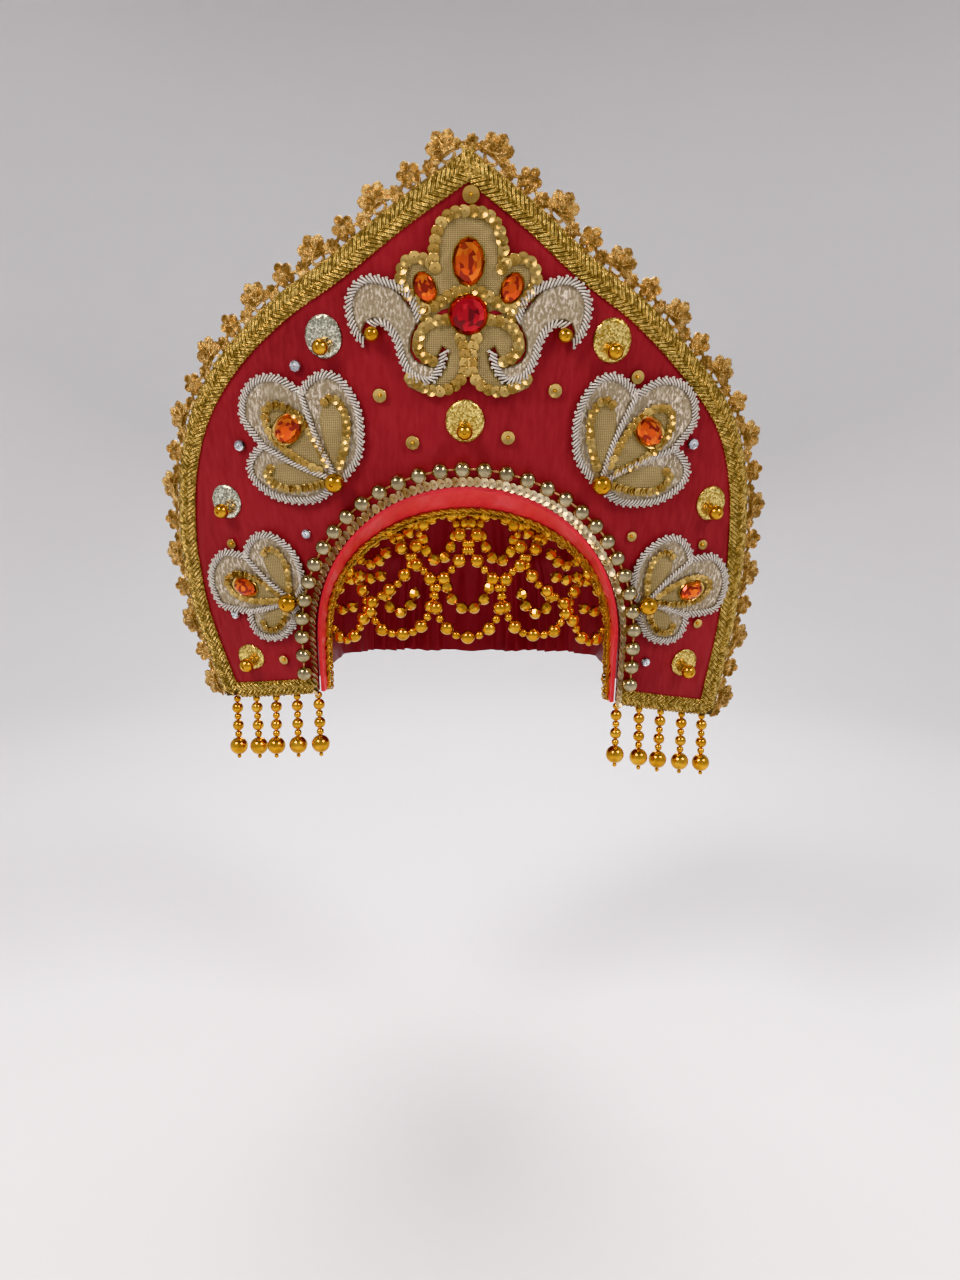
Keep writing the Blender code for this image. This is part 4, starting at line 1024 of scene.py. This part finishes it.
def padded_patch(name, outline, finish, height, node=None, base=CLEARANCE, ripples=(), spacing=0.0011,
                 edge=0.0018, slot=None):
    """A sewn patch with a rounded edge and a slightly uneven face."""
    low, high = outline.min(0), outline.max(0)
    u = np.arange(low[0], high[0], spacing)
    s = np.arange(low[1], high[1], spacing * 0.87)
    grid_u, grid_s = np.meshgrid(u, s)
    grid_u = grid_u + (np.arange(len(s)) % 2)[:, None] * spacing / 2
    grid = np.stack([grid_u.ravel(), grid_s.ravel()], 1)
    is_in, away = inside(grid, outline)
    count = len(outline)
    flat = np.concatenate([outline, grid[is_in & (away > spacing * 0.45)]])
    edges = [(k, (k + 1) % count) for k in range(count)]
    points, _, faces, *_ = geometry.delaunay_2d_cdt([Vector(p) for p in flat], edges, [], 1, 1e-7)
    points = np.array([tuple(p) for p in points])
    faces = np.array([tuple(face) for face in faces])
    faces = faces[inside(points[faces].mean(1), outline)[0]]
    share = np.clip(inside(points, outline)[1] / edge, 0, 1)
    dome = np.sqrt(np.clip(1 - (1 - share) ** 2, 0, 1))
    lift = base + height * (0.25 + 0.75 * dome)
    lift = lift + share * waves_of(points[:, 0], points[:, 1], ripples)
    shape = Shape()
    shape.add((lifted(points, lift), faces))
    shape.add((lifted(points, base), faces[:, ::-1]))
    pairs = np.sort(np.concatenate([faces[:, [0, 1]], faces[:, [1, 2]], faces[:, [2, 0]]]), 1)
    rims, uses = np.unique(pairs, axis=0, return_counts=True)
    start, end = rims[uses == 1].T
    shape.faces.append(np.stack([start, end, end + len(points), start + len(points)], 1))
    sew(name, shape, finish, node, 50, slot)


def single_bead(name, place, seat, radius, node):
    """A gold bead sewn on through its hole."""
    shape = Shape()
    shape.stamp(ball(28, 15), [(*place, seat + CLEARANCE + radius)], None, radius)
    sew(name, shape, "gold_bead", node)


# Round the arch

KNOT_PROFILE = ((0, 1), (0.8, 0.7), (0.55, 0.2), (0.85, -0.3), (0.5, -0.8), (0, -1))


def arch_string():
    """The string of champagne beads, with a knot of thread between each two."""
    line = arch_line(BEAD_TOP_GAP, BEAD_SIDE_GAP, HEM_BRAID_WIDTH + BEAD_RADIUS + CLEARANCE * 2)
    total = total_length(line)
    lift = CLEARANCE + BEAD_RADIUS
    beads, thread = Shape(), Shape()
    middles = (np.arange(BEAD_COUNT - 1) + 0.5) * total / (BEAD_COUNT - 1)
    wire = along(line, np.linspace(0, total, BEAD_COUNT * 6))[0]
    thread.add(tube(lifted(wire, lift + 0.0004 * np.sin(np.arange(len(wire)) * 1.1)), 0.00042, 6))
    for shape, template, at, sizes in (
            (beads, ball(26, 15, 0.16), np.linspace(0, total, BEAD_COUNT), BEAD_RADIUS),
            (thread, turned(KNOT_PROFILE, 8), middles, [[0.0007, 0.0007, 0.0012]])):
        places, ahead = along(line, at)
        shape.stamp(template, lifted(places, lift), frames_along(lifted(ahead), UP), sizes)
    sew("arch_beads", beads, "champagne_bead", "arch_bead_string")
    sew("arch_bead_thread", thread, "copper_thread", None, 50, "gold_sequin")


ARCH_SEQUIN = 0.0026          # radius, and how far the string's middle is above the arch's top
ARCH_SEQUIN_GAP = 0.0002
ARCH_SEQUIN_PITCH = 0.0037
ARCH_SEQUIN_DROP = 0.075      # how far down the cups have turned edge on


def arch_sequins():
    """A string of cups along the arch's edge, face on over the top and edge on down the sides; their gold is
    painted paler, standing for light.
    """
    places, ahead = spaced(arch_line(ARCH_SEQUIN, ARCH_SEQUIN_GAP), ARCH_SEQUIN_PITCH)
    down = np.clip(-places[:, 1] / ARCH_SEQUIN_DROP, 0, 1)
    turn = (np.radians(6 + 26 * down) * np.sign(places[:, 0]))[:, None]
    lean = np.radians(ARCH_SEQUIN_LEAN + 5 * np.sin(np.arange(len(places)) * 2.4))[:, None]
    forward = lifted(ahead)
    tipped = lifted(left_of(ahead)) * np.cos(turn) - UP * np.sin(np.abs(turn))
    face = unit(np.cross(forward, tipped))
    axes = tilted_axes(forward * np.cos(lean) + face * np.sin(lean), tipped)
    shape = Shape()
    shape.stamp(turned(SEQUIN_PROFILE, 14, closed=True), lifted(places, 0.0016 + 0.0006 * down), axes,
                ARCH_SEQUIN)
    sew("arch_sequins", shape, "arch_sequin_painted_light", "arch_sequin_trim", 35)


ARCH_CENTRE_Z = -ARCH_DROP - ARCH_RISE
BAND_COLUMNS = 150
BAND_ROWS = 16
BAND_FOLDS = ((0.0004, 9, 1.2, 0), (0.00025, 23, 0, 0), (0.0003, 41, 0, 5))   # size, count, phase, slant
SEAM_PLACE = 0.012            # across, from the middle
SEAM_DEPTH = 0.0006
SEAM_WIDTH = 0.0007
TINSEL_STEP = 0.0016
TINSEL_CORE = 0.0007
TINSEL_SHARES = (0.90, 0.975)     # of the band's width, at its core and at its hanging loops


def band_points(depth_in, shares, ripple=0.0):
    """Points of the forehead band, depth_in below its outer face, as rows of shares of its width."""
    sink = CLEARANCE * 2 + depth_in
    side_sink = sink + PANEL_THICKNESS * math.sin(ARCH_HALF / PANEL_BEND)
    edge = over_top(*(arch_side(side, -sink, -side_sink, None, 90) for side in SIDES))
    front = along(edge, np.linspace(0, total_length(edge), BAND_COLUMNS))[0]
    start = board(lifted(front, -CLEARANCE * 3))
    drop = BAND_DROP * np.clip(1 + front[:, 1] / ARCH_RISE, 0, 1)
    end = np.stack([start[:, 0], band_depth(start[:, 0]), start[:, 2] - drop], 1)
    shares = np.asarray(shares)[:, None, None]
    grid = start + (end - start) * shares
    inward = unit(np.array([0, -0.02, ARCH_CENTRE_Z]) - grid * (1, 0, 1))
    across = shares[..., 0]
    turn = np.linspace(0, 2 * np.pi, BAND_COLUMNS)
    fold = np.sin(across * np.pi) * sum(size * np.sin(turn * count + phase + across * slant)
                                        for size, count, phase, slant in BAND_FOLDS)
    return grid + inward * (ripple * fold)[..., None]


def forehead_band():
    """The satin strip that runs back from the arch, with faint puckers and a seam; its satin is painted
    lighter to stand for light.
    """
    outer, inner = (band_points(sink, np.linspace(0, 1, BAND_ROWS), 1.0) for sink in (0.0, CLOTH))
    inner[..., 2] += SEAM_DEPTH * np.exp(-((outer[..., 0] - SEAM_PLACE) / SEAM_WIDTH) ** 2)
    shape = Shape()
    shape.grid(np.concatenate([outer, inner[::-1]]), round_rows=True)
    row = np.arange(BAND_ROWS - 1)
    last = 2 * BAND_ROWS - 1
    for column in (0, BAND_COLUMNS - 1):
        shape.faces.append(np.stack([row, row + 1, last - 1 - row, last - row], 1) * BAND_COLUMNS + column)
    piece = make("forehead_band_satin", shape, "band_satin_painted_light", "forehead_band", 50)


def band_tinsel():
    """Thin wrinkled braid on the band's inner edge: two rows of small loops over a flat core."""
    line = band_points(CLOTH + CLEARANCE + TINSEL_CORE, TINSEL_SHARES[:1])[0]
    rear = band_points(CLOTH + CLEARANCE, TINSEL_SHARES[1:])[0]
    total = total_length(line)
    at = np.arange(TINSEL_STEP / 2, total, TINSEL_STEP)
    places, ahead = along(line, at)
    inward = unit(np.array([0, line[:, 1].mean(), ARCH_CENTRE_Z]) - places)
    inward = unit(inward - (inward * ahead).sum(1, keepdims=True) * ahead)
    axes = np.stack([ahead, np.cross(ahead, inward), inward], 1)
    turn = np.linspace(0, 2 * np.pi, 9)
    shape = Shape()
    for sign in (-1, 1):
        loop = np.stack([0.0015 * np.cos(turn), sign * (0.0008 + 0.0012 * np.sin(turn)),
                         0.0005 * np.sin(turn * 2)], 1)
        wobble = 0.0006 * np.sin(np.arange(len(at)) * 1.9 + sign)
        shape.stamp(tube(loop, 0.00044, 5), places + inward * wobble[:, None], axes)
    hanging = np.stack([0.0016 * np.cos(turn), 0.0007 * np.sin(turn * 2),
                        0.0014 + 0.0017 * np.sin(turn)], 1)
    rear_places = along(rear, at / total * total_length(rear))[0]
    wobble = np.random.default_rng(7).normal(0, 0.00035, (len(at), 3))
    shape.stamp(tube(hanging, 0.00046, 5), rear_places + wobble, axes)
    shape.add(tube(along(line, np.linspace(0, total, 300))[0], TINSEL_CORE, 6, (0, -1, 0.2)))
    make("band_tinsel", shape, "tinsel", "band_braid", 50)


# Cap

CAP_COLUMNS_ARCH = 60
CAP_COLUMNS_HEM = 220
CAP_HEM_SHARE = 0.93          # where the elastic runs, on the way from the seat to the lower edge
FINE_GATHER = 0.0011
ELASTIC_PULL = 0.0022
FRILL_FLARE = 0.0014


def cap_ends(skin, gathers):
    """Ends of the cap's columns: behind the board round the arch, then round the lower edge."""
    half, back = CAP_HALF + skin, CAP_BACK + skin
    lift = -PANEL_THICKNESS - CLEARANCE
    gap = CAP_FRONT_GAP + skin
    turn = np.linspace(np.pi - CAP_ARCH_TURN, CAP_ARCH_TURN, CAP_COLUMNS_ARCH + 1)
    front = board(np.stack([(ARCH_HALF + gap) * np.cos(turn),
                            (ARCH_RISE + gap) * np.sin(turn) - ARCH_RISE, np.full(len(turn), lift)], 1))
    corner = board([ARCH_HALF + gap, foot("right")[1], lift])
    turn = np.linspace(0, np.pi, CAP_COLUMNS_HEM + 1)
    pull = 1 + gathers * np.sin(turn) ** 0.3
    x, y = half * np.cos(turn) * pull, back * np.sin(turn) * pull
    drop = CAP_SIDE_DROP + (CAP_NAPE_DROP - CAP_SIDE_DROP) * np.sin(turn) ** 2
    x[0], y[0] = corner[0], corner[1]
    x[-1], y[-1] = -corner[0], corner[1]
    blend = np.clip(np.minimum(turn, np.pi - turn) / 0.16, 0, 1)
    y = y * blend + corner[1] * (1 - blend) * (blend < 1)
    return np.concatenate([front, np.stack([x, y, -drop], 1)])


def cap_skin(skin):
    """Rows of points from the seat to the cap's edge."""
    turn = np.linspace(0, np.pi, CAP_COLUMNS_HEM + 1)
    broad = GATHER_DEPTH / CAP_HALF * np.cos(2 * GATHER_COUNT * turn)
    fine = FINE_GATHER / CAP_HALF * np.cos(7 * GATHER_COUNT * turn + 1.5 * np.sin(turn * 5))
    smooth, gathered, puckered = (cap_ends(skin, gathers) for gathers in (0 * turn, broad, broad + fine))
    hem = np.concatenate([np.zeros(CAP_COLUMNS_ARCH + 1), np.sin(turn) ** 0.3])
    rows = []
    for share in np.concatenate([np.linspace(0.02, 0.9, 34), np.linspace(0.915, 1.0, 12)]):
        height = (1 - share ** CAP_ROUNDNESS) ** (1 / CAP_ROUNDNESS)
        end = smooth + (gathered - smooth) * share ** GATHER_RISE + (puckered - gathered) * share ** 9
        row = end * share
        row[:, 2] = end[:, 2] + (skin - end[:, 2]) * height
        tight = ELASTIC_PULL * math.exp(-((share - CAP_HEM_SHARE) / 0.016) ** 2)
        flare = FRILL_FLARE * max(0.0, (share - CAP_HEM_SHARE) / (1 - CAP_HEM_SHARE))
        ruffle = flare * (1 + np.cos(np.arange(len(row)) * 0.9))
        rows.append(row + unit(row * (1, 1, 0)) * ((ruffle - tight) * hem)[:, None])
    return np.stack(rows)


def back_cap():
    """The soft satin cap, gathered into a narrow elastic hem that ends in a small frill."""
    outer, inner = cap_skin(CLOTH), cap_skin(0.0)
    rows, columns = outer.shape[:2]
    shape = Shape()
    shape.grid(np.concatenate([outer, inner[::-1]]), round_columns=True)
    ring = np.arange(columns)
    for start, z in ((0, CLOTH), ((2 * rows - 1) * columns, 0.0)):
        pole = shape.count
        fan = np.stack([start + ring, start + (ring + 1) % columns, 0 * ring + pole], 1)
        shape.add(([[0, 0, z]], fan - pole))
    piece = make("back_cap_satin", shape, "red_satin", "back_cap", 60)


# Net and pendants

def bead_line(line, sizes, start=0.0):
    """Distances and radii of touching beads of the sizes in turn, spread to fill the line."""
    total = total_length(line)
    radii, at, index = [], [], 0
    reach = start
    while True:
        radius = sizes[index % len(sizes)]
        if reach + radius > total:
            break
        at.append(reach + radius)
        radii.append(radius)
        reach += 2 * radius
        index += 1
    spare = (total - reach) / max(len(at), 1)
    return np.array(at) + spare * (np.arange(len(at)) + 0.5), np.array(radii)


THREAD = 0.0004


def bead_net():
    """The net over the forehead: strands of large and small round beads, and loops of cut beads."""
    threads = Shape()
    for name, template, table, sizes, lift, sharp in (
            ("net_round_beads", ball(18, 10), NET_ROUND, (NET_SMALL, NET_BIG), NET_LIFT, 40),
            ("net_cut_beads", cut_ball(), NET_FACETED, (NET_CUT,), NET_LIFT - 0.0012, 12)):
        beads = Shape()
        for row in table:
            half = np.array(row, float) * MM
            lines = [half, mirrored(half)]
            if half[-1, 0] == 0 and half[0, 0] != 0:
                lines = [np.concatenate([half, mirrored(half)[-2::-1]])]
            for line in lines:
                flat = curve(line)
                wave = 0.0006 * np.sin(np.arange(len(flat)) * 0.35 + len(flat))
                points = forehead(lifted(flat, lift + wave))
                at, radii = bead_line(points, sizes)
                centres, ahead = along(points, at)
                beads.stamp(template, centres, frames_along(ahead, TOWARDS_FACE), radii[:, None])
                threads.add(tube(points, THREAD, 5, TOWARDS_FACE))
        make(name, beads, "gold_bead", "forehead_net", sharp)
    make("net_thread", threads, "copper_thread", "forehead_net", 50, "gold_bead")


PENDANT_BEADS = (0.0021, 0.0033, 0.0021, 0.0033, 0.0021, 0.0052, 0.0012)


def pendants():
    small, large = ball(16, 9), ball(26, 15)
    for side in SIDES:
        inner, corner = foot(side), crown_side(side)[-1]
        for index in range(PENDANTS):
            flat = inner + (corner - inner) * (PENDANT_FIRST + PENDANT_STEP * index)
            top = board([*flat, -PANEL_THICKNESS / 2]) - (0, 0, CLEARANCE * 3)
            sway = math.radians(1.6) * math.sin(index * 2.1 + (1 if side == "left" else 0))
            down = np.array([math.sin(sway), 0, -math.cos(sway)])
            axes = frames_along(down[None], TOWARDS_FACE)
            shape = Shape()
            drop = 0.0
            for radius in PENDANT_BEADS:
                shape.stamp(large if radius > 0.004 else small, [top + down * (drop + radius)], axes, radius)
                drop += 2 * radius
            shape.add(tube(np.stack([top + (0, 0, 0.001), top + down * drop]), THREAD, 6, TOWARDS_FACE))
            name = "pendant_%s_%d" % (side, index + 1)
            make(name + "_beads", shape, "gold_bead", name)


# Crest, scrolls, flowers, discs

PATCH_TOP = CLEARANCE + PATCH_HEIGHT
CREST_RIPPLES = ((0.00012, 120, 70, 0.3), (0.00010, -80, 150, 1.1))
CREST_GAP_HEIGHT = 0.0002
CREST_GAP = ((8.5, 86.8), (12, 86.0), (16.5, 84.4), (12, 83.0), (8.5, 82.4))
SEQUIN = 0.0029
SEQUIN_PITCH = 0.0040
SEQUIN_LIFT = 0.0026


def crest_points(rows):
    return np.array(rows) * (CREST_HALF, CREST_HEIGHT) + (0, CREST_FOOT)


def crest():
    rows = crest_points(CREST_OUTLINE)
    padded_patch("crest_cloth", np.concatenate([rows, mirrored(rows)[-2:0:-1]]), "gold_cloth",
                 PATCH_HEIGHT, "crest_patch", ripples=CREST_RIPPLES)
    chains = Shape()
    for row in CREST_CHAINS:
        line = millimetres(row)
        lines = [over_top(mirrored(line), line)] if row[0][0] == 0 else [line, mirrored(line)]
        for chain in lines:
            sequin_chain(chains, chain, SEQUIN, SEQUIN_PITCH, SEQUIN_LIFT)
    sew("crest_sequins", chains, "gold_sequin", None, 35)
    for side, (sign, *_) in SIDES.items():
        padded_patch("crest_gap_" + side, np.array(CREST_GAP) * (sign * MM, MM), "red_satin",
                     CREST_GAP_HEIGHT, base=PATCH_TOP, slot="")
    for name, (share_u, share_s, half_width, half_height, turn) in CREST_STONES.items():
        cut_stone("crest_gem_" + name, crest_points((share_u, share_s)), (half_width, half_height), turn,
                  SMALL_STONE_HEIGHT if name in SIDES else STONE_HEIGHT, PATCH_TOP,
                  "ruby_stone" if name == "round" else "amber_stone", "crest_stone_" + name)
    for side, (sign, *_) in SIDES.items():
        scroll = crest_points(SCROLL_OUTLINE) * (sign, 1)
        padded_patch("scroll_cloth_" + side, scroll, "silver_lame", PATCH_HEIGHT, "scroll_" + side,
                     ripples=CREST_RIPPLES)
        sew_cords("scroll_%s_" + side, [(millimetres(row) * (sign, 1), scroll) for row in SCROLL_CORDS])
        single_bead("scroll_bead_gold_" + side, crest_points(SCROLL_BEAD_AT) * (sign, 1), 0.0,
                    SCROLL_BEAD, "scroll_bead_" + side)


def heading(sign, degrees):
    """A flat direction, by degrees up from straight out on one side."""
    return np.array([sign * math.cos(math.radians(degrees)), math.sin(math.radians(degrees))])


def flower_arcs(sign, centre, line, spread, turn, middle, sides):
    """A flower's edge as three arcs, one to a petal, each with its heart or notch at both ends."""
    def place(angle, radius):
        return centre + heading(sign, angle) * radius

    arcs = []
    notches = []
    for petal, length in zip((1, -1), sides):
        notches.append(place(line + petal * (turn + NOTCH[0] * spread), NOTCH[1] * length))
        arc = [place(line + petal * (turn + degrees * spread), max(share * length, FLOWER_HEART))
               for degrees, share in SIDE_PETAL]
        arcs.append([notches[-1], *arc, place(line + petal * (turn + 62 * spread), FLOWER_HEART * 0.9)])
    crown = [place(line + degrees * spread, share * middle) for degrees, share in MIDDLE_PETAL]
    arcs.append([notches[1], *crown, notches[0]])
    return [curve(arc) for arc in arcs], notches


PETAL_SEQUIN = {"upper": 0.0024, "lower": 0.0024 * 0.86}
PETAL_SEQUIN_LIFT = 0.0034
RIB_HALF = 0.0013
RIB_LIFT = 0.0026
LEAF_HEIGHT = 0.0009
LEAF_WIDTH = {"upper": 0.80, "lower": 1.00}
MIDDLE_LEAF_WIDTH = 0.86
LEAF_TABLE = ((0.16, 0.050), (0.30, 0.115), (0.46, 0.160), (0.60, 0.165), (0.70, 0.130), (0.77, 0.060),
              (0.79, 0.000))


def flower(kind, side):
    name = "flower_%s_%s" % (kind, side)
    sign, reach, *_ = SIDES[side]
    line, turn, spread, shares, size, tilt = FLOWER_KINDS[kind]
    if kind == "upper":
        across, length = UPPER_FITS[side]
        middle = length * reach
        centre = np.array([sign * across * reach, UPPER_PLACE * CROWN_RISE])
    else:
        middle = LOWER_FITS[side] * (reach - ARCH_HALF)
        centre = np.array([sign * (ARCH_HALF + LOWER_GAP), -LOWER_PLACE * ARCH_RISE])
    sides = [share * middle for share in shares]
    arcs, notches = flower_arcs(sign, centre, line, spread, turn, middle, sides)
    outline = np.concatenate([arcs[0][::-1], arcs[2][::-1][1:], arcs[1][1:]])
    padded_patch(name + "_cloth", outline, "silver_lame", PATCH_HEIGHT, name, ripples=CREST_RIPPLES)
    ribs = [curve([notch, (notch + centre) / 2 + left_of(notch - centre) * 0.03,
                   centre + unit(notch - centre) * 0.004], 10) for notch in notches]
    sew_cords(name + "_%s", [(arc, outline) for arc in arcs] + [(rib, None, RIB_HALF, RIB_LIFT)
                                                             for rib in ribs])
    sequins = Shape()
    radius = PETAL_SEQUIN[kind]
    petals = [(line, middle, MIDDLE_LEAF_WIDTH, 0)]
    petals += [(line + way * (turn + 5 * spread), length, LEAF_WIDTH[kind], way)
               for way, length in zip((1, -1), sides)]
    for index, (angle, length, wide, way) in enumerate(petals):
        ahead = heading(sign, angle) * length
        right, left = ([centre + ahead * a + left_of(ahead) * b * wide * half for a, b in LEAF_TABLE]
                       for half in (1, -1))
        edge = curve(right + left[-2::-1])
        padded_patch("%s_leaf_%d" % (name, index + 1), edge, "gold_cloth", LEAF_HEIGHT,
                     base=CLEARANCE + PATCH_HEIGHT * 0.9)
        if index:
            edge = (edge if way * sign > 0 else edge[::-1])[:len(edge) * 5 // 8][::-1]
        sequin_chain(sequins, edge, radius, radius * 1.5, PETAL_SEQUIN_LIFT)
    sew(name + "_sequins", sequins, "gold_sequin", None, 35)
    cut_stone(name + "_gem", centre + heading(sign, line) * middle * STONE_PLACE, size,
              sign * math.radians(tilt), SMALL_STONE_HEIGHT, PATCH_TOP + 0.0006, "amber_stone",
              name + "_stone", FLOWER_STONE_CUT)
    single_bead(name + "_bead_gold", centre, PATCH_TOP, FLOWER_BEAD, name + "_bead")


def discs():
    turn = np.linspace(0, 2 * np.pi, 40, endpoint=False)
    for name, (side, across, height, half_width, half_height) in DISCS.items():
        sign, reach, hem, _ = SIDES[side]
        place = np.array([sign * across * reach, height * (CROWN_RISE if height > 0 else hem)])
        outline = place + np.stack([half_width * np.cos(turn), half_height * np.sin(turn)], 1)
        padded_patch("glitter_" + name, outline,
                     "glitter_silver" if name in SILVER_DISCS else "glitter_gold", DISC_HEIGHT,
                     "disc_" + name, spacing=0.0013, edge=0.0007)
        single_bead("disc_gold_" + name, place - (0, DISC_BEAD_SINK * half_height),
                    CLEARANCE + DISC_HEIGHT, DISC_BEAD, "disc_bead_" + name)


CRYSTAL_PROFILE = ((0.12, 0.55), (0.5, 0.62), (0.85, 0.45), (1.0, 0.18), (0.9, 0.0), (0.12, 0.0))
FOIL_PROFILE = ((0, 0.0), (0.86, 0.0), (0.80, 0.10), (0.0, 0.14))


def loose_trims():
    sequins, seeds, crystals, foils = Shape(), Shape(), Shape(), Shape()
    cup, seed = turned(SEQUIN_PROFILE, 18, closed=True), sphere(8, 10)
    for index, (u, s, size) in enumerate(LOOSE_SEQUINS):
        radius = size / 2 * MM
        x = unit([1, 0, math.tan(math.radians(4 * math.sin(index * 2.2)))])
        axes = tilted_axes(x, [0, 1, math.tan(math.radians(5 * math.cos(index * 1.3)))])
        sequins.stamp(cup, [(u * MM, s * MM, CLEARANCE + radius * 0.32)], axes, radius)
        seeds.stamp(seed, [(u * MM, s * MM, CLEARANCE + radius * 0.30)], axes, 0.0008)
    cut, foil = turned(CRYSTAL_PROFILE, 8, closed=True), turned(FOIL_PROFILE, 12)
    for u, s, size in CRYSTALS:
        radius = size / 2 * MM
        crystals.stamp(cut, [(u * MM, s * MM, CLEARANCE + 0.0004)], None, radius)
        foils.stamp(foil, [(u * MM, s * MM, CLEARANCE * 0.6)], None, radius * 0.98)
    sew("loose_sequins", sequins, "gold_sequin", None, 35)
    sew("loose_seeds", seeds, "gold_bead", None, 60)
    sew("crystals", crystals, "crystal_stone", None, 10)
    sew("crystal_foils", foils, "stone_foil")


# Studio

def make_camera():
    pitch, roll = CAMERA_PITCH, CAMERA_ROLL
    data = bpy.data.cameras.new("camera")
    data.sensor_width = SENSOR
    data.lens = FOCAL_PIXELS / IMAGE_LONG_SIDE * SENSOR
    camera = bpy.data.objects.new("camera", data)
    right = Vector((math.cos(roll), math.sin(roll) * math.sin(pitch), math.sin(roll) * math.cos(pitch)))
    up = Vector((-math.sin(roll), math.cos(roll) * math.sin(pitch), math.cos(roll) * math.cos(pitch)))
    back = Vector((0, -math.cos(pitch), math.sin(pitch)))
    turn = Matrix((right, up, back)).transposed().to_4x4()
    camera.matrix_world = Matrix.Translation(CAMERA_PLACE) @ turn
    bpy.context.scene.collection.objects.link(camera)
    bpy.context.scene.camera = camera


FLOOR_Z = -0.46
WALL_RADIUS = 2.3
WALL_TOP = 3.0
COVE = 0.9
LIT_PLACE = Vector((0, -0.08, -0.03))
# Name, place, size, power and colour
LIGHTS = (
    ("key_left", (-0.75, -0.95, 0.85), 0.45, 12.0, (1.0, 0.97, 0.94)),
    ("key_right", (0.90, -0.85, 0.75), 0.40, 8.0, (1.0, 0.98, 0.96)),
    ("top", (0.0, 0.25, 1.90), 1.40, 17.0, (1.0, 1.0, 1.0)),
    ("back", (0.0, 1.6, 0.9), 0.80, 9.0, (1.0, 1.0, 1.0)),
)


def make_studio():
    scene = bpy.context.scene
    bend = np.linspace(0, np.pi / 2, 17)
    radius = np.concatenate([[0.00001, 0.5], WALL_RADIUS - COVE + COVE * np.sin(bend), [WALL_RADIUS]])
    height = np.concatenate([[FLOOR_Z, FLOOR_Z], FLOOR_Z + COVE - COVE * np.cos(bend), [WALL_TOP]])
    points, faces = turned(np.stack([radius, height], 1), 64)
    mesh = bpy.data.meshes.new("studio")
    mesh.from_pydata(points.tolist(), [], faces[:, ::-1].tolist())
    mesh.shade_smooth()
    mesh.materials.append(MATERIALS["floor"])
    studio = bpy.data.objects.new("studio", mesh)
    scene.collection.objects.link(studio)
    for name, place, size, power, colour in LIGHTS:
        data = bpy.data.lights.new(name, "AREA")
        data.shape = "DISK"
        data.size = size
        data.energy = power
        data.color = colour
        light = bpy.data.objects.new(name, data)
        light.location = place
        light.rotation_euler = (LIT_PLACE - Vector(place)).to_track_quat("-Z", "Y").to_euler()
        scene.collection.objects.link(light)
    scene.world = bpy.data.worlds.new("studio")
    scene.world.use_nodes = True
    background = scene.world.node_tree.nodes["Background"]
    background.inputs["Color"].default_value = (0.80, 0.80, 0.82, 1)
    background.inputs["Strength"].default_value = 0.20
    scene.view_settings.view_transform = "Khronos PBR Neutral"


make_camera()
make_studio()
satin_panel()
braids()
lace()
arch_string()
arch_sequins()
forehead_band()
band_tinsel()
back_cap()
bead_net()
pendants()
crest()
for kind in FLOWER_KINDS:
    for side in SIDES:
        flower(kind, side)
discs()
loose_trims()
